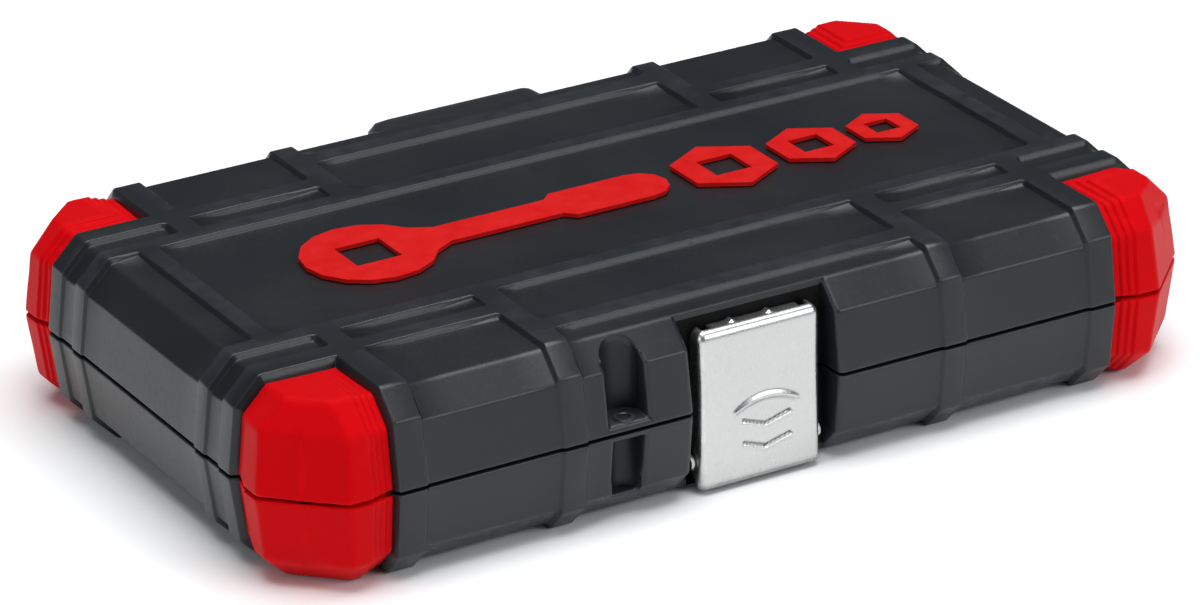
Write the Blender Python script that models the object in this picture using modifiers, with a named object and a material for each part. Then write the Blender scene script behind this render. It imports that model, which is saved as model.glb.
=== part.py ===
"""Quarter-inch drive socket wrench set in its hard case: the case closed and latched, with the
tools in their tray. Metres, +Z up, latch towards -Y, hinge at +Y.

The case is built round its parting plane, z = 0 of the empty "case_frame", because the lid and
the base are mirror images in it. The empty then lifts it onto the ground and centres it."""

import math

import bmesh
import bpy
from mathutils import Matrix

# ---- Case: half sizes are at the parting plane, on the raised bands and the corner caps.
HALF_X = 0.0950
HALF_Y = 0.0582
HALF_Z = 0.01775
DRAFT = 0.0016
CORNER_CHAMFER = 0.0120
TOP_BEVEL = 0.0050
PARTING_GAP = 0.0003
PANEL_DROP = 0.0010
PANEL_SIDE_DROP = 0.0004
CAVITY_X = 0.0895
CAVITY_Y = 0.0527
CAVITY_DEPTH = 0.0146
CAVITY_BEVEL = 0.0030
CAVITY_CHAMFER = 0.0110
RIM_OUT = 0.0015
RIM_WALL = 0.0011
RIM_TOP = 0.0012

# ---- Raised bands: x and y of their edges, the same left and right, front and back.
MID_BAND_X = (0.0365, 0.0414)
END_BAND_X = (0.0679, 0.0724)
CENTRE_PANEL = (0.0784, 0.0224)
SIDE_PANEL_X = 0.0824
STRIP_Y = (0.0266, 0.0316)
EDGE_PANEL_Y = 0.0358
MIDDLE_STRIP_Y = 0.0418
LATCH_PANEL_Y = 0.0466

# ---- Corner caps.
CAP_X = 0.0740
CAP_Y = 0.0367
CAP_WALL = 0.0017
CAP_ROOF = 0.0011
CAP_TOP_DROP = 0.0005

# ---- Latch.
RECESS_HALF_X = 0.0150
RECESS_BACK_Y = -0.0512
LATCH_HALF_X = 0.0124
LATCH_FACE_Y = -0.0552
LATCH_SHEET = 0.0009
LATCH_BOTTOM = -0.0164
LATCH_TOP = 0.0136
LATCH_PIN_Y = -0.0520
LATCH_PIN_Z = -0.0118
LATCH_PIN_RADIUS = 0.0008
LATCH_SWING = 0.0060
LATCH_EAR_X = (0.0070, 0.0108)
LATCH_EAR_RADIUS = 0.0020
HOOK_HALF_X = 0.0090
HOOK_Y = -0.0519
HOOK_BOTTOM = 0.0115
CATCH_Y = (-0.0540, -0.0531)
CATCH_SHELF_Z = (0.0085, 0.0105)
CATCH_TOP = 0.0124

# ---- Lock eye, left of the latch.
LOCK_X = -0.0280
LOCK_HALF_WIDTH = 0.0038
LOCK_BACK_Y = -0.0535
LOCK_FLOOR = 0.0018
LOCK_HOLE_RADIUS = 0.0014
LOCK_GROOVE_Y = -0.0562
LOCK_GROOVE_BOTTOM = -0.0124

# ---- Hinge.
HINGE_Y = 0.0588
KNUCKLE_RADIUS = 0.0024
HINGE_PIN_RADIUS = 0.0010
HINGE_HALF_X = 0.0180
HINGE_BLOCK_Y = 0.0583
HINGE_BLOCK_TOP = 0.0166
LID_KNUCKLE_HALF_X = 0.0070
CASE_Y = -(HINGE_Y + KNUCKLE_RADIUS - HALF_Y) / 2

# ---- Tools. All of them lie or stand in the tray, on REST_Z.
SQUARE = 0.00635
CLEAR = 0.0003
TRAY_BOTTOM = -0.0143
TRAY_TOP = -0.0030
REST_Z = -0.0132
POCKET_FLOOR = -0.0135
SOCKET_HEIGHT = 0.0250
SOCKETS = {  # nominal size in mm: outside diameter in metres
    4: 0.0118, 5: 0.0118, 5.5: 0.0118, 6: 0.0118, 7: 0.0118,
    8: 0.0120, 9: 0.0132, 10: 0.0146, 11: 0.0158, 12: 0.0172, 13: 0.0182, 14: 0.0196,
}
LARGE_ROW_Y = 0.0152
SMALL_ROW_Y = -0.0012
ROW_START_X = -0.0865
SOCKET_SPACING = 0.0018
RATCHET_X = -0.0650
RATCHET_Y = 0.0382
RATCHET_HEAD_RADIUS = 0.0125
RATCHET_HEAD_Z = (-0.0046, 0.0060)
GRIP_START = 0.0020
GRIP_END = 0.0800
GRIP_RADIUS = 0.0085
LEVER_OFFSET = 0.0094
BUTTON_TRAVEL = 0.0012
BAR_Y = -0.0136
BAR_RADIUS = 0.00575
SHANK_RADIUS = 0.0040
SPINNER_Y = -0.0316
SPINNER_RADIUS = 0.0110
JOINT_X = 0.0640
JOINT_Y = -0.0080
JOINT_Z = -0.0068
JOINT_RADIUS = 0.0059
FORK_HALF_SLOT = 0.0036
FORK_HALF_WIDTH = 0.0029
FORK_TIP = 0.0022
FORK_BORE = 0.0016
CROSS_RADIUS = 0.0013
BIT_PITCH = 0.0083
BIT_X = 0.0466
BIT_Y = 0.0118
BIT_LENGTH = 0.0250
LINER_Z = (0.0121, 0.0143)


def clear_scene():
    for old in list(bpy.data.objects):
        bpy.data.objects.remove(old, do_unlink=True)


def collection(name, is_cutters=False):
    made = bpy.data.collections.new(name)
    bpy.context.scene.collection.children.link(made)
    made.hide_render = is_cutters
    return made


def material(name, colour, roughness, metallic=0.0):
    made = bpy.data.materials.new(name)
    made.use_nodes = True
    shader = made.node_tree.nodes["Principled BSDF"]
    shader.inputs["Base Color"].default_value = (*colour, 1.0)
    shader.inputs["Roughness"].default_value = roughness
    shader.inputs["Metallic"].default_value = metallic
    return made


clear_scene()
PARTS = collection("socket_wrench_set")
CUTTERS = collection("cutters", is_cutters=True)
BLACK = material("case_black", (0.030, 0.033, 0.036), 0.45)
RED = material("cap_red", (0.62, 0.004, 0.010), 0.40)
STEEL = material("latch_steel", (0.72, 0.72, 0.70), 0.30, 1.0)
CHROME = material("tool_chrome", (0.75, 0.76, 0.78), 0.14, 1.0)
DARK_STEEL = material("bit_steel", (0.25, 0.25, 0.26), 0.38, 1.0)
TRAY_GREY = material("tray_plastic", (0.055, 0.057, 0.060), 0.60)
FOAM = material("liner_foam", (0.040, 0.040, 0.042), 0.95)

FRAME = bpy.data.objects.new("case_frame", None)
FRAME.location = (0.0, CASE_Y, HALF_Z)
PARTS.objects.link(FRAME)


# ---------------------------------------------------------------- making and joining shapes


def place(name, mesh, finish, location=(0.0, 0.0, 0.0), smooth=None):
    """An object in the case's frame. With no finish it is a cutter."""
    made = bpy.data.objects.new(name, mesh)
    made.parent = FRAME
    made.location = location
    if finish is None:
        CUTTERS.objects.link(made)
        made.hide_render = True
        made.display_type = "WIRE"
        return made
    PARTS.objects.link(made)
    mesh.materials.append(finish)
    if smooth is not None:
        mesh.shade_smooth()
        mesh.set_sharp_from_angle(angle=smooth)
    return made


def mesh_from(name, bm):
    mesh = bpy.data.meshes.new(name)
    bm.to_mesh(mesh)
    bm.free()
    return mesh


def box(name, x, y, z, finish=None, origin=(0.0, 0.0, 0.0)):
    """A box between the pairs x, y and z, with its origin where it is told."""
    bm = bmesh.new()
    bmesh.ops.create_cube(bm, size=1.0)
    size = (x[1] - x[0], y[1] - y[0], z[1] - z[0])
    middle = ((x[0] + x[1]) / 2, (y[0] + y[1]) / 2, (z[0] + z[1]) / 2)
    bmesh.ops.scale(bm, vec=size, verts=bm.verts)
    bmesh.ops.translate(bm, vec=[m - o for m, o in zip(middle, origin)], verts=bm.verts)
    return place(name, mesh_from(name, bm), finish, origin)


def rod(name, radius, span, axis, at, finish=None, sides=20, twist=0.0, end_radius=None):
    """A cylinder, prism or cone along X, Y or Z over span, through the other two values of at."""
    bm = bmesh.new()
    length = span[1] - span[0]
    end = radius if end_radius is None else end_radius
    bmesh.ops.create_cone(
        bm, cap_ends=True, segments=sides, radius1=radius, radius2=end, depth=length
    )
    bmesh.ops.rotate(bm, matrix=Matrix.Rotation(twist, 3, "Z"), verts=bm.verts)
    if axis == "X":
        bmesh.ops.rotate(bm, matrix=Matrix.Rotation(math.pi / 2, 3, "Y"), verts=bm.verts)
    elif axis == "Y":
        bmesh.ops.rotate(bm, matrix=Matrix.Rotation(-math.pi / 2, 3, "X"), verts=bm.verts)
    centre = list(at)
    centre["XYZ".index(axis)] = (span[0] + span[1]) / 2
    return place(name, mesh_from(name, bm), finish, centre, math.radians(35))


def square_rod(name, across, span, axis, at, finish=None):
    """A square bar along axis, its flats square to the other two axes."""
    return rod(name, across / math.sqrt(2), span, axis, at, finish, 4, math.pi / 4)


def turned(name, profile, axis, location, finish=None, steps=20):
    """A Screw of (radius, height) points that run down the outer side, from pole to pole."""
    mesh = bpy.data.meshes.new(name)
    points = [(radius, 0.0, height) for radius, height in profile]
    mesh.from_pydata(points, [(i, i + 1) for i in range(len(points) - 1)], [])
    made = place(name, mesh, finish, location)
    if axis == "X":
        made.rotation_euler = (0.0, math.pi / 2, 0.0)
    screw = made.modifiers.new("Turn", "SCREW")
    screw.steps = screw.render_steps = steps
    screw.use_merge_vertices = True
    screw.merge_threshold = 0.00001
    screw.use_smooth_shade = True
    return made


def solid_profile(*rings):
    """A profile closed on the axis at both ends."""
    return [(0.0, rings[0][1]), *rings, (0.0, rings[-1][1])]


def prism(name, outline, z, finish=None, location=(0.0, 0.0, 0.0)):
    """A flat outline, filled and extruded between the two values of z, as a mesh."""
    curve = bpy.data.curves.new(name, "CURVE")
    curve.dimensions = "2D"
    curve.fill_mode = "BOTH"
    curve.extrude = (z[1] - z[0]) / 2
    spline = curve.splines.new("POLY")
    spline.points.add(len(outline) - 1)
    for point, (x, y) in zip(spline.points, outline):
        point.co = (x, y, 0.0, 1.0)
    spline.use_cyclic_u = True
    guide = bpy.data.objects.new(name + "_outline", curve)
    bpy.context.scene.collection.objects.link(guide)
    graph = bpy.context.evaluated_depsgraph_get()
    mesh = bpy.data.meshes.new_from_object(guide.evaluated_get(graph))
    bpy.data.objects.remove(guide, do_unlink=True)
    bm = bmesh.new()
    bm.from_mesh(mesh)
    bmesh.ops.remove_doubles(bm, verts=bm.verts, dist=0.000005)
    bmesh.ops.recalc_face_normals(bm, faces=bm.faces)
    bmesh.ops.translate(bm, vec=(0.0, 0.0, (z[0] + z[1]) / 2), verts=bm.verts)
    bm.to_mesh(mesh)
    bm.free()
    mesh.name = name
    mesh.materials.clear()
    return place(name, mesh, finish, location)


def boolean(target, operation, others):
    for other in others:
        step = target.modifiers.new(other.name, "BOOLEAN")
        step.operation = operation
        step.object = other
    return target


def cut(target, *others):
    return boolean(target, "DIFFERENCE", others)


def join(target, *others):
    return boolean(target, "UNION", others)


def common(target, *others):
    return boolean(target, "INTERSECT", others)


def arc(centre, radius, start, end, count):
    """Points round a centre, angles in degrees."""
    turn = [math.radians(start + (end - start) * i / count) for i in range(count + 1)]
    return [(centre[0] + radius * math.cos(a), centre[1] + radius * math.sin(a)) for a in turn]


# ---------------------------------------------------------------- case shells


def hull(name, half_x, half_y, height, up, chamfer=CORNER_CHAMFER, bevel=TOP_BEVEL):
    """Half of the case as a solid: chamfered corners, a bevel round the top and drafted walls.
    It stands on the parting plane, upwards for the lid (up = 1), downwards for the base (-1)."""
    bm = bmesh.new()
    bmesh.ops.create_cube(bm, size=1.0)
    size = (2 * (half_x - DRAFT), 2 * (half_y - DRAFT), height)
    bmesh.ops.scale(bm, vec=size, verts=bm.verts)
    bmesh.ops.translate(bm, vec=(0.0, 0.0, height / 2), verts=bm.verts)
    upright = [e for e in bm.edges if abs(e.verts[0].co.z - e.verts[1].co.z) > height / 2]
    bmesh.ops.bevel(bm, geom=upright, offset=chamfer, segments=1, affect="EDGES")
    rim = [e for e in bm.edges if all(v.co.z > height / 2 for v in e.verts)]
    if bevel > 0.0:
        bmesh.ops.bevel(bm, geom=rim, offset=bevel, segments=1, affect="EDGES")
    for vertex in bm.verts:
        if vertex.co.z < height * 0.1:
            vertex.co.x += math.copysign(DRAFT, vertex.co.x)
            vertex.co.y += math.copysign(DRAFT, vertex.co.y)
    if up < 0:
        bmesh.ops.scale(bm, vec=(1.0, 1.0, -1.0), verts=bm.verts)
        bmesh.ops.reverse_faces(bm, faces=bm.faces)
    return place(name, mesh_from(name, bm), None)


def both_sides(low, high):
    """The span from low to high, and its mirror image."""
    return [(low, high), (-high, -low)]


def windows(name):
    """Boxes over every recessed panel and strip between the raised bands, as one cutter."""
    far = 0.12
    inner, outer = both_sides(MID_BAND_X[1], END_BAND_X[0]), both_sides(END_BAND_X[1], far)
    middle = [(-MID_BAND_X[0], MID_BAND_X[0])]
    areas = [((-CENTRE_PANEL[0], CENTRE_PANEL[0]), (-CENTRE_PANEL[1], CENTRE_PANEL[1]))]
    areas += [(x, (-CENTRE_PANEL[1], CENTRE_PANEL[1])) for x in both_sides(SIDE_PANEL_X, far)]
    areas += [(x, y) for x in inner + outer for y in both_sides(*STRIP_Y)]
    areas += [(x, y) for x in inner for y in both_sides(EDGE_PANEL_Y, far)]
    areas += [(x, y) for x in middle for y in both_sides(STRIP_Y[0], MIDDLE_STRIP_Y)]
    areas += [(x, y) for x in middle for y in both_sides(LATCH_PANEL_Y, far)]
    bm = bmesh.new()
    for x, y in areas:
        made = bmesh.ops.create_cube(bm, size=1.0)["verts"]
        bmesh.ops.scale(bm, vec=(x[1] - x[0], y[1] - y[0], 0.06), verts=made)
        bmesh.ops.translate(bm, vec=(sum(x) / 2, sum(y) / 2, 0.0), verts=made)
    return place(name, mesh_from(name, bm), None)


def corner_box(name, x, y, up, inset=0.0):
    """The corner of the case that a cap covers, from the parting plane up or down."""
    spans = []
    for sign, edge in ((x, CAP_X - inset), (y, CAP_Y - inset)):
        spans.append(sorted((sign * edge, sign * 0.12)))
    height = sorted((up * (PARTING_GAP if inset == 0.0 else -0.002), up * 0.03))
    return box(name, spans[0], spans[1], height)


CORNERS = [(side, end) for side in (1, -1) for end in (1, -1)]
ALL_X = (-0.12, 0.12)
FRONT_NOTCH_X = (-0.0340, 0.0170)


def outer_form(name, up):
    """One half from outside: solid at panel level, with the raised bands joined on."""
    low = hull(
        f"{name}_panels", HALF_X - PANEL_SIDE_DROP, HALF_Y - PANEL_SIDE_DROP,
        HALF_Z - PANEL_DROP, up,
    )
    high = hull(f"{name}_bands", HALF_X, HALF_Y, HALF_Z, up)
    cut(high, windows(f"{name}_windows"))
    mesh = low.data.copy()
    made = place(name, mesh, BLACK)
    return join(made, high)


def cavity(name, up, notches):
    """The hollow of one half, with the front kept solid behind the latch and the lock eye."""
    made = hull(name, CAVITY_X, CAVITY_Y, CAVITY_DEPTH, up, CAVITY_CHAMFER, CAVITY_BEVEL)
    for i, (x, back) in enumerate(notches):
        cut(made, box(f"{name}_notch_{i}", x, (-0.07, back), (-0.02, 0.02)))
    return made


def rim_block(name, spread, z):
    """A low block with the cavity's outline, spread outwards, for the rim where the halves meet."""
    height = z[1] - z[0]
    made = hull(name, CAVITY_X + spread, CAVITY_Y + spread, height, 1, CAVITY_CHAMFER, 0.0)
    made.location.z = z[0]
    return made


def knuckle(name, span, radius, finish=None):
    return rod(name, radius, span, "X", (0.0, HINGE_Y, 0.0), finish)


def half_case(name, up, notches, knuckles, other_knuckles):
    """One shell, with its hinge knuckles, cap seats and latch recess."""
    shell = outer_form(name, up)
    block = sorted((up * PARTING_GAP, up * HINGE_BLOCK_TOP))
    hinge_x = (-HINGE_HALF_X, HINGE_HALF_X)
    join(shell, box(f"{name}_hinge_block", hinge_x, (0.050, HINGE_BLOCK_Y), block))
    seat = hull(f"{name}_seat_core", HALF_X - CAP_WALL - CLEAR, HALF_Y - CAP_WALL - CLEAR,
                HALF_Z - CAP_TOP_DROP - CAP_ROOF - CLEAR, up)
    for i, (x, y) in enumerate(CORNERS):
        cut(shell, cut(corner_box(f"{name}_seat_{i}", x, y, up, CLEAR), seat))
    cut(shell, cavity(f"{name}_cavity", up, notches))
    gap = sorted((-up * 0.004, up * PARTING_GAP))
    cut(shell, box(f"{name}_parting", ALL_X, (-0.08, 0.08), gap))
    if up > 0:
        cut(shell, rim_block("lid_rabbet", RIM_OUT + CLEAR, (-0.001, RIM_TOP + CLEAR)))
    else:
        rim = rim_block("base_rim", RIM_OUT, (-0.001, RIM_TOP))
        cut(rim, rim_block("base_rim_hollow", RIM_OUT - RIM_WALL, (-0.002, 0.005)))
        join(shell, rim)
    for i, span in enumerate(knuckles):
        join(shell, knuckle(f"{name}_knuckle_{i}", span, KNUCKLE_RADIUS))
    for i, span in enumerate(other_knuckles):
        cut(shell, knuckle(f"{name}_knuckle_room_{i}", span, KNUCKLE_RADIUS + CLEAR))
    cut(shell, knuckle(f"{name}_pin_bore", ALL_X, HINGE_PIN_RADIUS + CLEAR))
    recess_x = (-RECESS_HALF_X, RECESS_HALF_X)
    cut(shell, box(f"{name}_recess", recess_x, (-0.07, RECESS_BACK_Y), (-0.03, 0.03)))
    return shell


def lid_shell():
    side = (LID_KNUCKLE_HALF_X, HINGE_HALF_X + CLEAR)
    shell = half_case(
        "lid_shell", 1, [(FRONT_NOTCH_X, -0.0492)],
        [(-LID_KNUCKLE_HALF_X, LID_KNUCKLE_HALF_X)], both_sides(*side),
    )
    catch_x = (-HOOK_HALF_X - 0.0005, HOOK_HALF_X + 0.0005)
    join(shell, box("catch_shelf", catch_x, (CATCH_Y[0], -0.0500), CATCH_SHELF_Z))
    join(shell, box("catch_lip", catch_x, CATCH_Y, (CATCH_SHELF_Z[0], CATCH_TOP)))
    arch = [(-LOCK_HALF_WIDTH, LOCK_FLOOR), (LOCK_HALF_WIDTH, LOCK_FLOOR)]
    arch += arc((0.0, 0.0122), LOCK_HALF_WIDTH, 0, 180, 8)
    pocket = prism("lock_pocket", arch, (-0.0100, 0.0), None, (LOCK_X, LOCK_BACK_Y, 0.0))
    pocket.rotation_euler = (math.pi / 2, 0.0, 0.0)
    pocket.location.y = LOCK_BACK_Y - 0.0100
    cut(shell, pocket, lock_hole("lid_lock_hole"))
    return shell


def lock_hole(name):
    return rod(name, LOCK_HOLE_RADIUS, (-0.004, 0.004), "Z", (LOCK_X, -0.0552, 0.0), None, 12)


def base_shell():
    latch_x = (-RECESS_HALF_X - 0.0020, RECESS_HALF_X + 0.0020)
    shell = half_case(
        "base_shell", -1, [(latch_x, -0.0442), (FRONT_NOTCH_X, -0.0492)],
        both_sides(LID_KNUCKLE_HALF_X + CLEAR, HINGE_HALF_X),
        [(-LID_KNUCKLE_HALF_X - CLEAR, LID_KNUCKLE_HALF_X + CLEAR)],
    )
    pin = (0.0, LATCH_PIN_Y, LATCH_PIN_Z)
    swing_x = (-LATCH_HALF_X - 0.0014, LATCH_HALF_X + 0.0014)
    cut(shell, rod("latch_swing_room", LATCH_SWING, swing_x, "X", pin))
    for i, span in enumerate(both_sides(*LATCH_EAR_X)):
        join(shell, box(f"latch_rib_{i}", span, (LATCH_PIN_Y, -0.0450), (-0.0112, -0.0050)))
        join(shell, rod(f"latch_ear_{i}", LATCH_EAR_RADIUS, span, "X", pin))
    cut(shell, rod("latch_pin_bore", LATCH_PIN_RADIUS + CLEAR, (-0.0130, 0.0130), "X", pin))
    groove_x = (LOCK_X - 0.0028, LOCK_X + 0.0028)
    groove_z = (LOCK_GROOVE_BOTTOM, -0.0016)
    cut(shell, box("lock_groove", groove_x, (-0.07, LOCK_GROOVE_Y), groove_z))
    cut(shell, box("lock_pocket_base", groove_x, (-0.07, LOCK_BACK_Y), (-0.0100, -0.0020)))
    cut(shell, lock_hole("base_lock_hole"))
    return shell


def corner_caps():
    for half, up in (("lid", 1), ("base", -1)):
        outer_top = HALF_Z - CAP_TOP_DROP
        core = hull(f"{half}_cap_core", HALF_X - CAP_WALL, HALF_Y - CAP_WALL,
                    outer_top - CAP_ROOF, up)
        for x, y in CORNERS:
            where = ("front" if y < 0 else "rear") + ("_left" if x < 0 else "_right")
            cap = place(f"{half}_cap_{where}", hull_mesh(outer_top, up), RED)
            common(cap, corner_box(f"{half}_{where}_reach", x, y, up))
            cut(cap, core)


def hull_mesh(height, up):
    """The full outline of the case at cap level, as mesh data only."""
    whole = hull("cap_outline", HALF_X, HALF_Y, height, up)
    mesh = whole.data
    bpy.data.objects.remove(whole, do_unlink=True)
    return mesh


def badge():
    """Plain tool symbols on the lid: a ratchet seen from above and three hexagon socket ends."""
    z = (0.0170, HALF_Z)
    outline = arc((-0.0480, 0.0), 0.0125, 28, 332, 14)
    outline += [(-0.0330, -0.0036), (-0.0100, -0.0036), (-0.0080, -0.0056)]
    outline += arc((0.0080, 0.0), 0.0056, -90, 90, 6)
    outline += [(-0.0080, 0.0056), (-0.0100, 0.0036), (-0.0330, 0.0036)]
    through = (0.010, 0.020)
    ratchet = prism("badge_ratchet", outline, z, RED)
    head_at = (-0.0480, 0.0, 0.0)
    cut(ratchet, square_rod("badge_ratchet_square", 0.0090, through, "Z", head_at))
    for i, x in enumerate((0.0260, 0.0448, 0.0604)):
        radius = 0.0100 - 0.0016 * i
        at = (x, 0.0, 0.0)
        ring = rod(f"badge_hexagon_{i + 1}", radius, z, "Z", at, RED, 6)
        cut(ring, square_rod(f"badge_square_{i}", radius * 0.75, through, "Z", at))


# ---------------------------------------------------------------- latch and hinge pins


def latch_flap():
    """The steel flap: it turns on the pin at its foot, and its hook drops behind the catch."""
    pin = (0.0, LATCH_PIN_Y, LATCH_PIN_Z)
    x = (-LATCH_HALF_X, LATCH_HALF_X)
    inner = LATCH_FACE_Y + LATCH_SHEET
    face_z = (LATCH_BOTTOM, LATCH_TOP)
    flap = box("latch_flap", x, (LATCH_FACE_Y, inner), face_z, STEEL, pin)
    hook_x = (-HOOK_HALF_X, HOOK_HALF_X)
    roof = (LATCH_TOP - LATCH_SHEET, LATCH_TOP)
    join(flap, box("latch_roof", hook_x, (LATCH_FACE_Y + 0.0001, HOOK_Y), roof))
    hook = (HOOK_Y - LATCH_SHEET, HOOK_Y)
    join(flap, box("latch_hook", hook_x, hook, (HOOK_BOTTOM, LATCH_TOP)))
    wing_x = (LATCH_HALF_X - LATCH_SHEET - 0.0001, LATCH_HALF_X - 0.0001)
    for i, side in enumerate(both_sides(*wing_x)):
        wing_y = (LATCH_FACE_Y + 0.0001, LATCH_PIN_Y)
        wing = box(f"latch_wing_{i}", side, wing_y, (-0.0145, 0.0110))
        middle = sum(side) / 2
        eye_x = (middle - LATCH_SHEET * 0.4, middle + LATCH_SHEET * 0.4)
        join(flap, wing, rod(f"latch_wing_eye_{i}", 0.0027, eye_x, "X", pin))
    cut(flap, rod("latch_flap_bore", LATCH_PIN_RADIUS + CLEAR, ALL_X, "X", pin))
    return flap


def pins():
    at = (0.0, LATCH_PIN_Y, LATCH_PIN_Z)
    reach = LATCH_HALF_X + CLEAR
    length = (-reach - 0.0002, reach + 0.0002)
    latch_pin = rod("latch_pin", LATCH_PIN_RADIUS, length, "X", at, STEEL, 14)
    for i, side in enumerate(both_sides(reach, reach + 0.0006)):
        join(latch_pin, rod(f"latch_pin_head_{i}", 0.0015, side, "X", at, None, 14))
    knuckle("hinge_pin", (-HINGE_HALF_X, HINGE_HALF_X), HINGE_PIN_RADIUS, STEEL)


# ---------------------------------------------------------------- tools


def socket(size, x, y):
    """A six-point socket standing on its drive end, with a slimmer nose on the small sizes."""
    radius = SOCKETS[size] / 2
    hex_radius = size / 1000 / math.sqrt(3)
    nose = max(hex_radius + 0.0011, min(radius, size / 1000 * 0.66 + 0.0009))
    waist = SOCKET_HEIGHT * 0.52
    rings = [(nose - 0.0005, SOCKET_HEIGHT), (nose, SOCKET_HEIGHT - 0.0005)]
    if nose < radius - 0.0004:
        rings += [(nose, waist + 0.0015), (radius, waist)]
    rings += [(radius, 0.0005), (radius - 0.0005, 0.0)]
    name = f"socket_{size}mm".replace(".", "_")
    made = turned(name, solid_profile(*rings), "Z", (x, y, REST_Z), CHROME, 18)
    top = REST_Z + SOCKET_HEIGHT
    at = (x, y, 0.0)
    hexagon_z = (top - 0.0120, top + 0.001)
    square_z = (REST_Z - 0.001, REST_Z + 0.0085)
    cut(
        made,
        rod(name + "_hexagon", hex_radius, hexagon_z, "Z", at, None, 6),
        square_rod(name + "_square", SQUARE, square_z, "Z", at),
    )


def socket_places():
    """(size, x, y) of every socket: small ones in one row, large ones in the other."""
    places = []
    for row_y, is_large in ((SMALL_ROW_Y, False), (LARGE_ROW_Y, True)):
        edge = ROW_START_X
        for size in [each for each in SOCKETS if (each > 7) == is_large]:
            places.append((size, edge + SOCKETS[size] / 2, row_y))
            edge += SOCKETS[size] + SOCKET_SPACING
    return places


def extension_bar(name, start, length, y):
    """A bar lying along X: the square hole at its left end, the drive square at its right."""
    z = REST_Z + BAR_RADIUS
    end = start + length
    rings = [(SHANK_RADIUS, length - 0.0075), (SHANK_RADIUS, 0.0160), (BAR_RADIUS, 0.0135),
             (BAR_RADIUS, 0.0005), (BAR_RADIUS - 0.0005, 0.0)]
    made = turned(name, solid_profile(*rings), "X", (start, y, z), CHROME, 16)
    join(made, square_rod(name + "_drive", SQUARE, (end - 0.0080, end), "X", (0.0, y, z)))
    hole = (start - 0.001, start + 0.0085)
    cut(made, square_rod(name + "_hole", SQUARE, hole, "X", (0.0, y, z)))


def bit_adaptor(start):
    z = REST_Z + BAR_RADIUS
    at = (0.0, BAR_Y, z)
    rings = [(BAR_RADIUS - 0.0005, 0.0240), (BAR_RADIUS, 0.0235), (BAR_RADIUS, 0.0130),
             (0.0050, 0.0120), (0.0050, 0.0005), (0.0045, 0.0)]
    made = turned("bit_adaptor", solid_profile(*rings), "X", (start, BAR_Y, z), CHROME, 16)
    bit_end = (start - 0.001, start + 0.0110)
    drive_end = (start + 0.0155, start + 0.026)
    hexagon = rod("adaptor_hexagon", SQUARE / math.sqrt(3), bit_end, "X", at, None, 6)
    cut(made, hexagon, square_rod("adaptor_square", SQUARE, drive_end, "X", at))


def joint_fork(name, x, slot_x, arms_axis):
    """A round end with two arms. The slot between them, and the flats beside them, span slot_x."""
    at = (JOINT_X, JOINT_Y, JOINT_Z)
    reach = 0.0100
    fork = rod(name, JOINT_RADIUS, x, "X", at, CHROME)
    along, across = (1, 2) if arms_axis == "Y" else (2, 1)
    spans = [slot_x, (0.0, 0.0), (0.0, 0.0)]
    spans[along] = (at[along] - FORK_HALF_SLOT, at[along] + FORK_HALF_SLOT)
    spans[across] = (at[across] - reach, at[across] + reach)
    cut(fork, box(name + "_slot", *spans))
    spans[along] = (at[along] - reach, at[along] + reach)
    for i, flat in enumerate(both_sides(FORK_HALF_WIDTH, reach)):
        spans[across] = (at[across] + flat[0], at[across] + flat[1])
        cut(fork, box(f"{name}_flat_{i}", *spans))
    bore = (at[along] - reach, at[along] + reach)
    cut(fork, rod(name + "_bore", FORK_BORE, bore, arms_axis, at, None, 12))
    return fork


def universal_joint():
    """Two forked ends on a cross. The left end stays in its cradle; the right end bends."""
    at = (JOINT_X, JOINT_Y, JOINT_Z)
    fixed_x = (JOINT_X - 0.0190, JOINT_X + FORK_TIP)
    socket_end = joint_fork("joint_socket_end", fixed_x, (JOINT_X - 0.0062, JOINT_X + 0.01), "Y")
    hole_x = (JOINT_X - 0.0200, JOINT_X - 0.0105)
    cut(socket_end, square_rod("joint_square", SQUARE, hole_x, "X", at))

    free_x = (JOINT_X - FORK_TIP, JOINT_X + 0.0120)
    drive_end = joint_fork("joint_drive_end", free_x, (JOINT_X - 0.01, JOINT_X + 0.0060), "Z")
    drive_x = (JOINT_X + 0.0115, JOINT_X + 0.0190)
    join(drive_end, square_rod("joint_drive", SQUARE, drive_x, "X", at))

    across = (JOINT_Y - 0.0056, JOINT_Y + 0.0056)
    cross = rod("joint_cross", CROSS_RADIUS, across, "Y", at, DARK_STEEL, 12)
    upright = (JOINT_Z - 0.0056, JOINT_Z + 0.0056)
    join(cross, rod("cross_upright", CROSS_RADIUS, upright, "Z", at, None, 12))
    join(cross, box("cross_middle", *[(c - 0.0024, c + 0.0024) for c in at]))
    move_origin(socket_end, at)
    move_origin(drive_end, at)


def move_origin(made, origin):
    """Puts an object's origin on its joint, with its shape left where it is."""
    shift = made.location - Matrix.Translation(origin).to_translation()
    made.data.transform(Matrix.Translation(shift))
    made.location = origin


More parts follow.
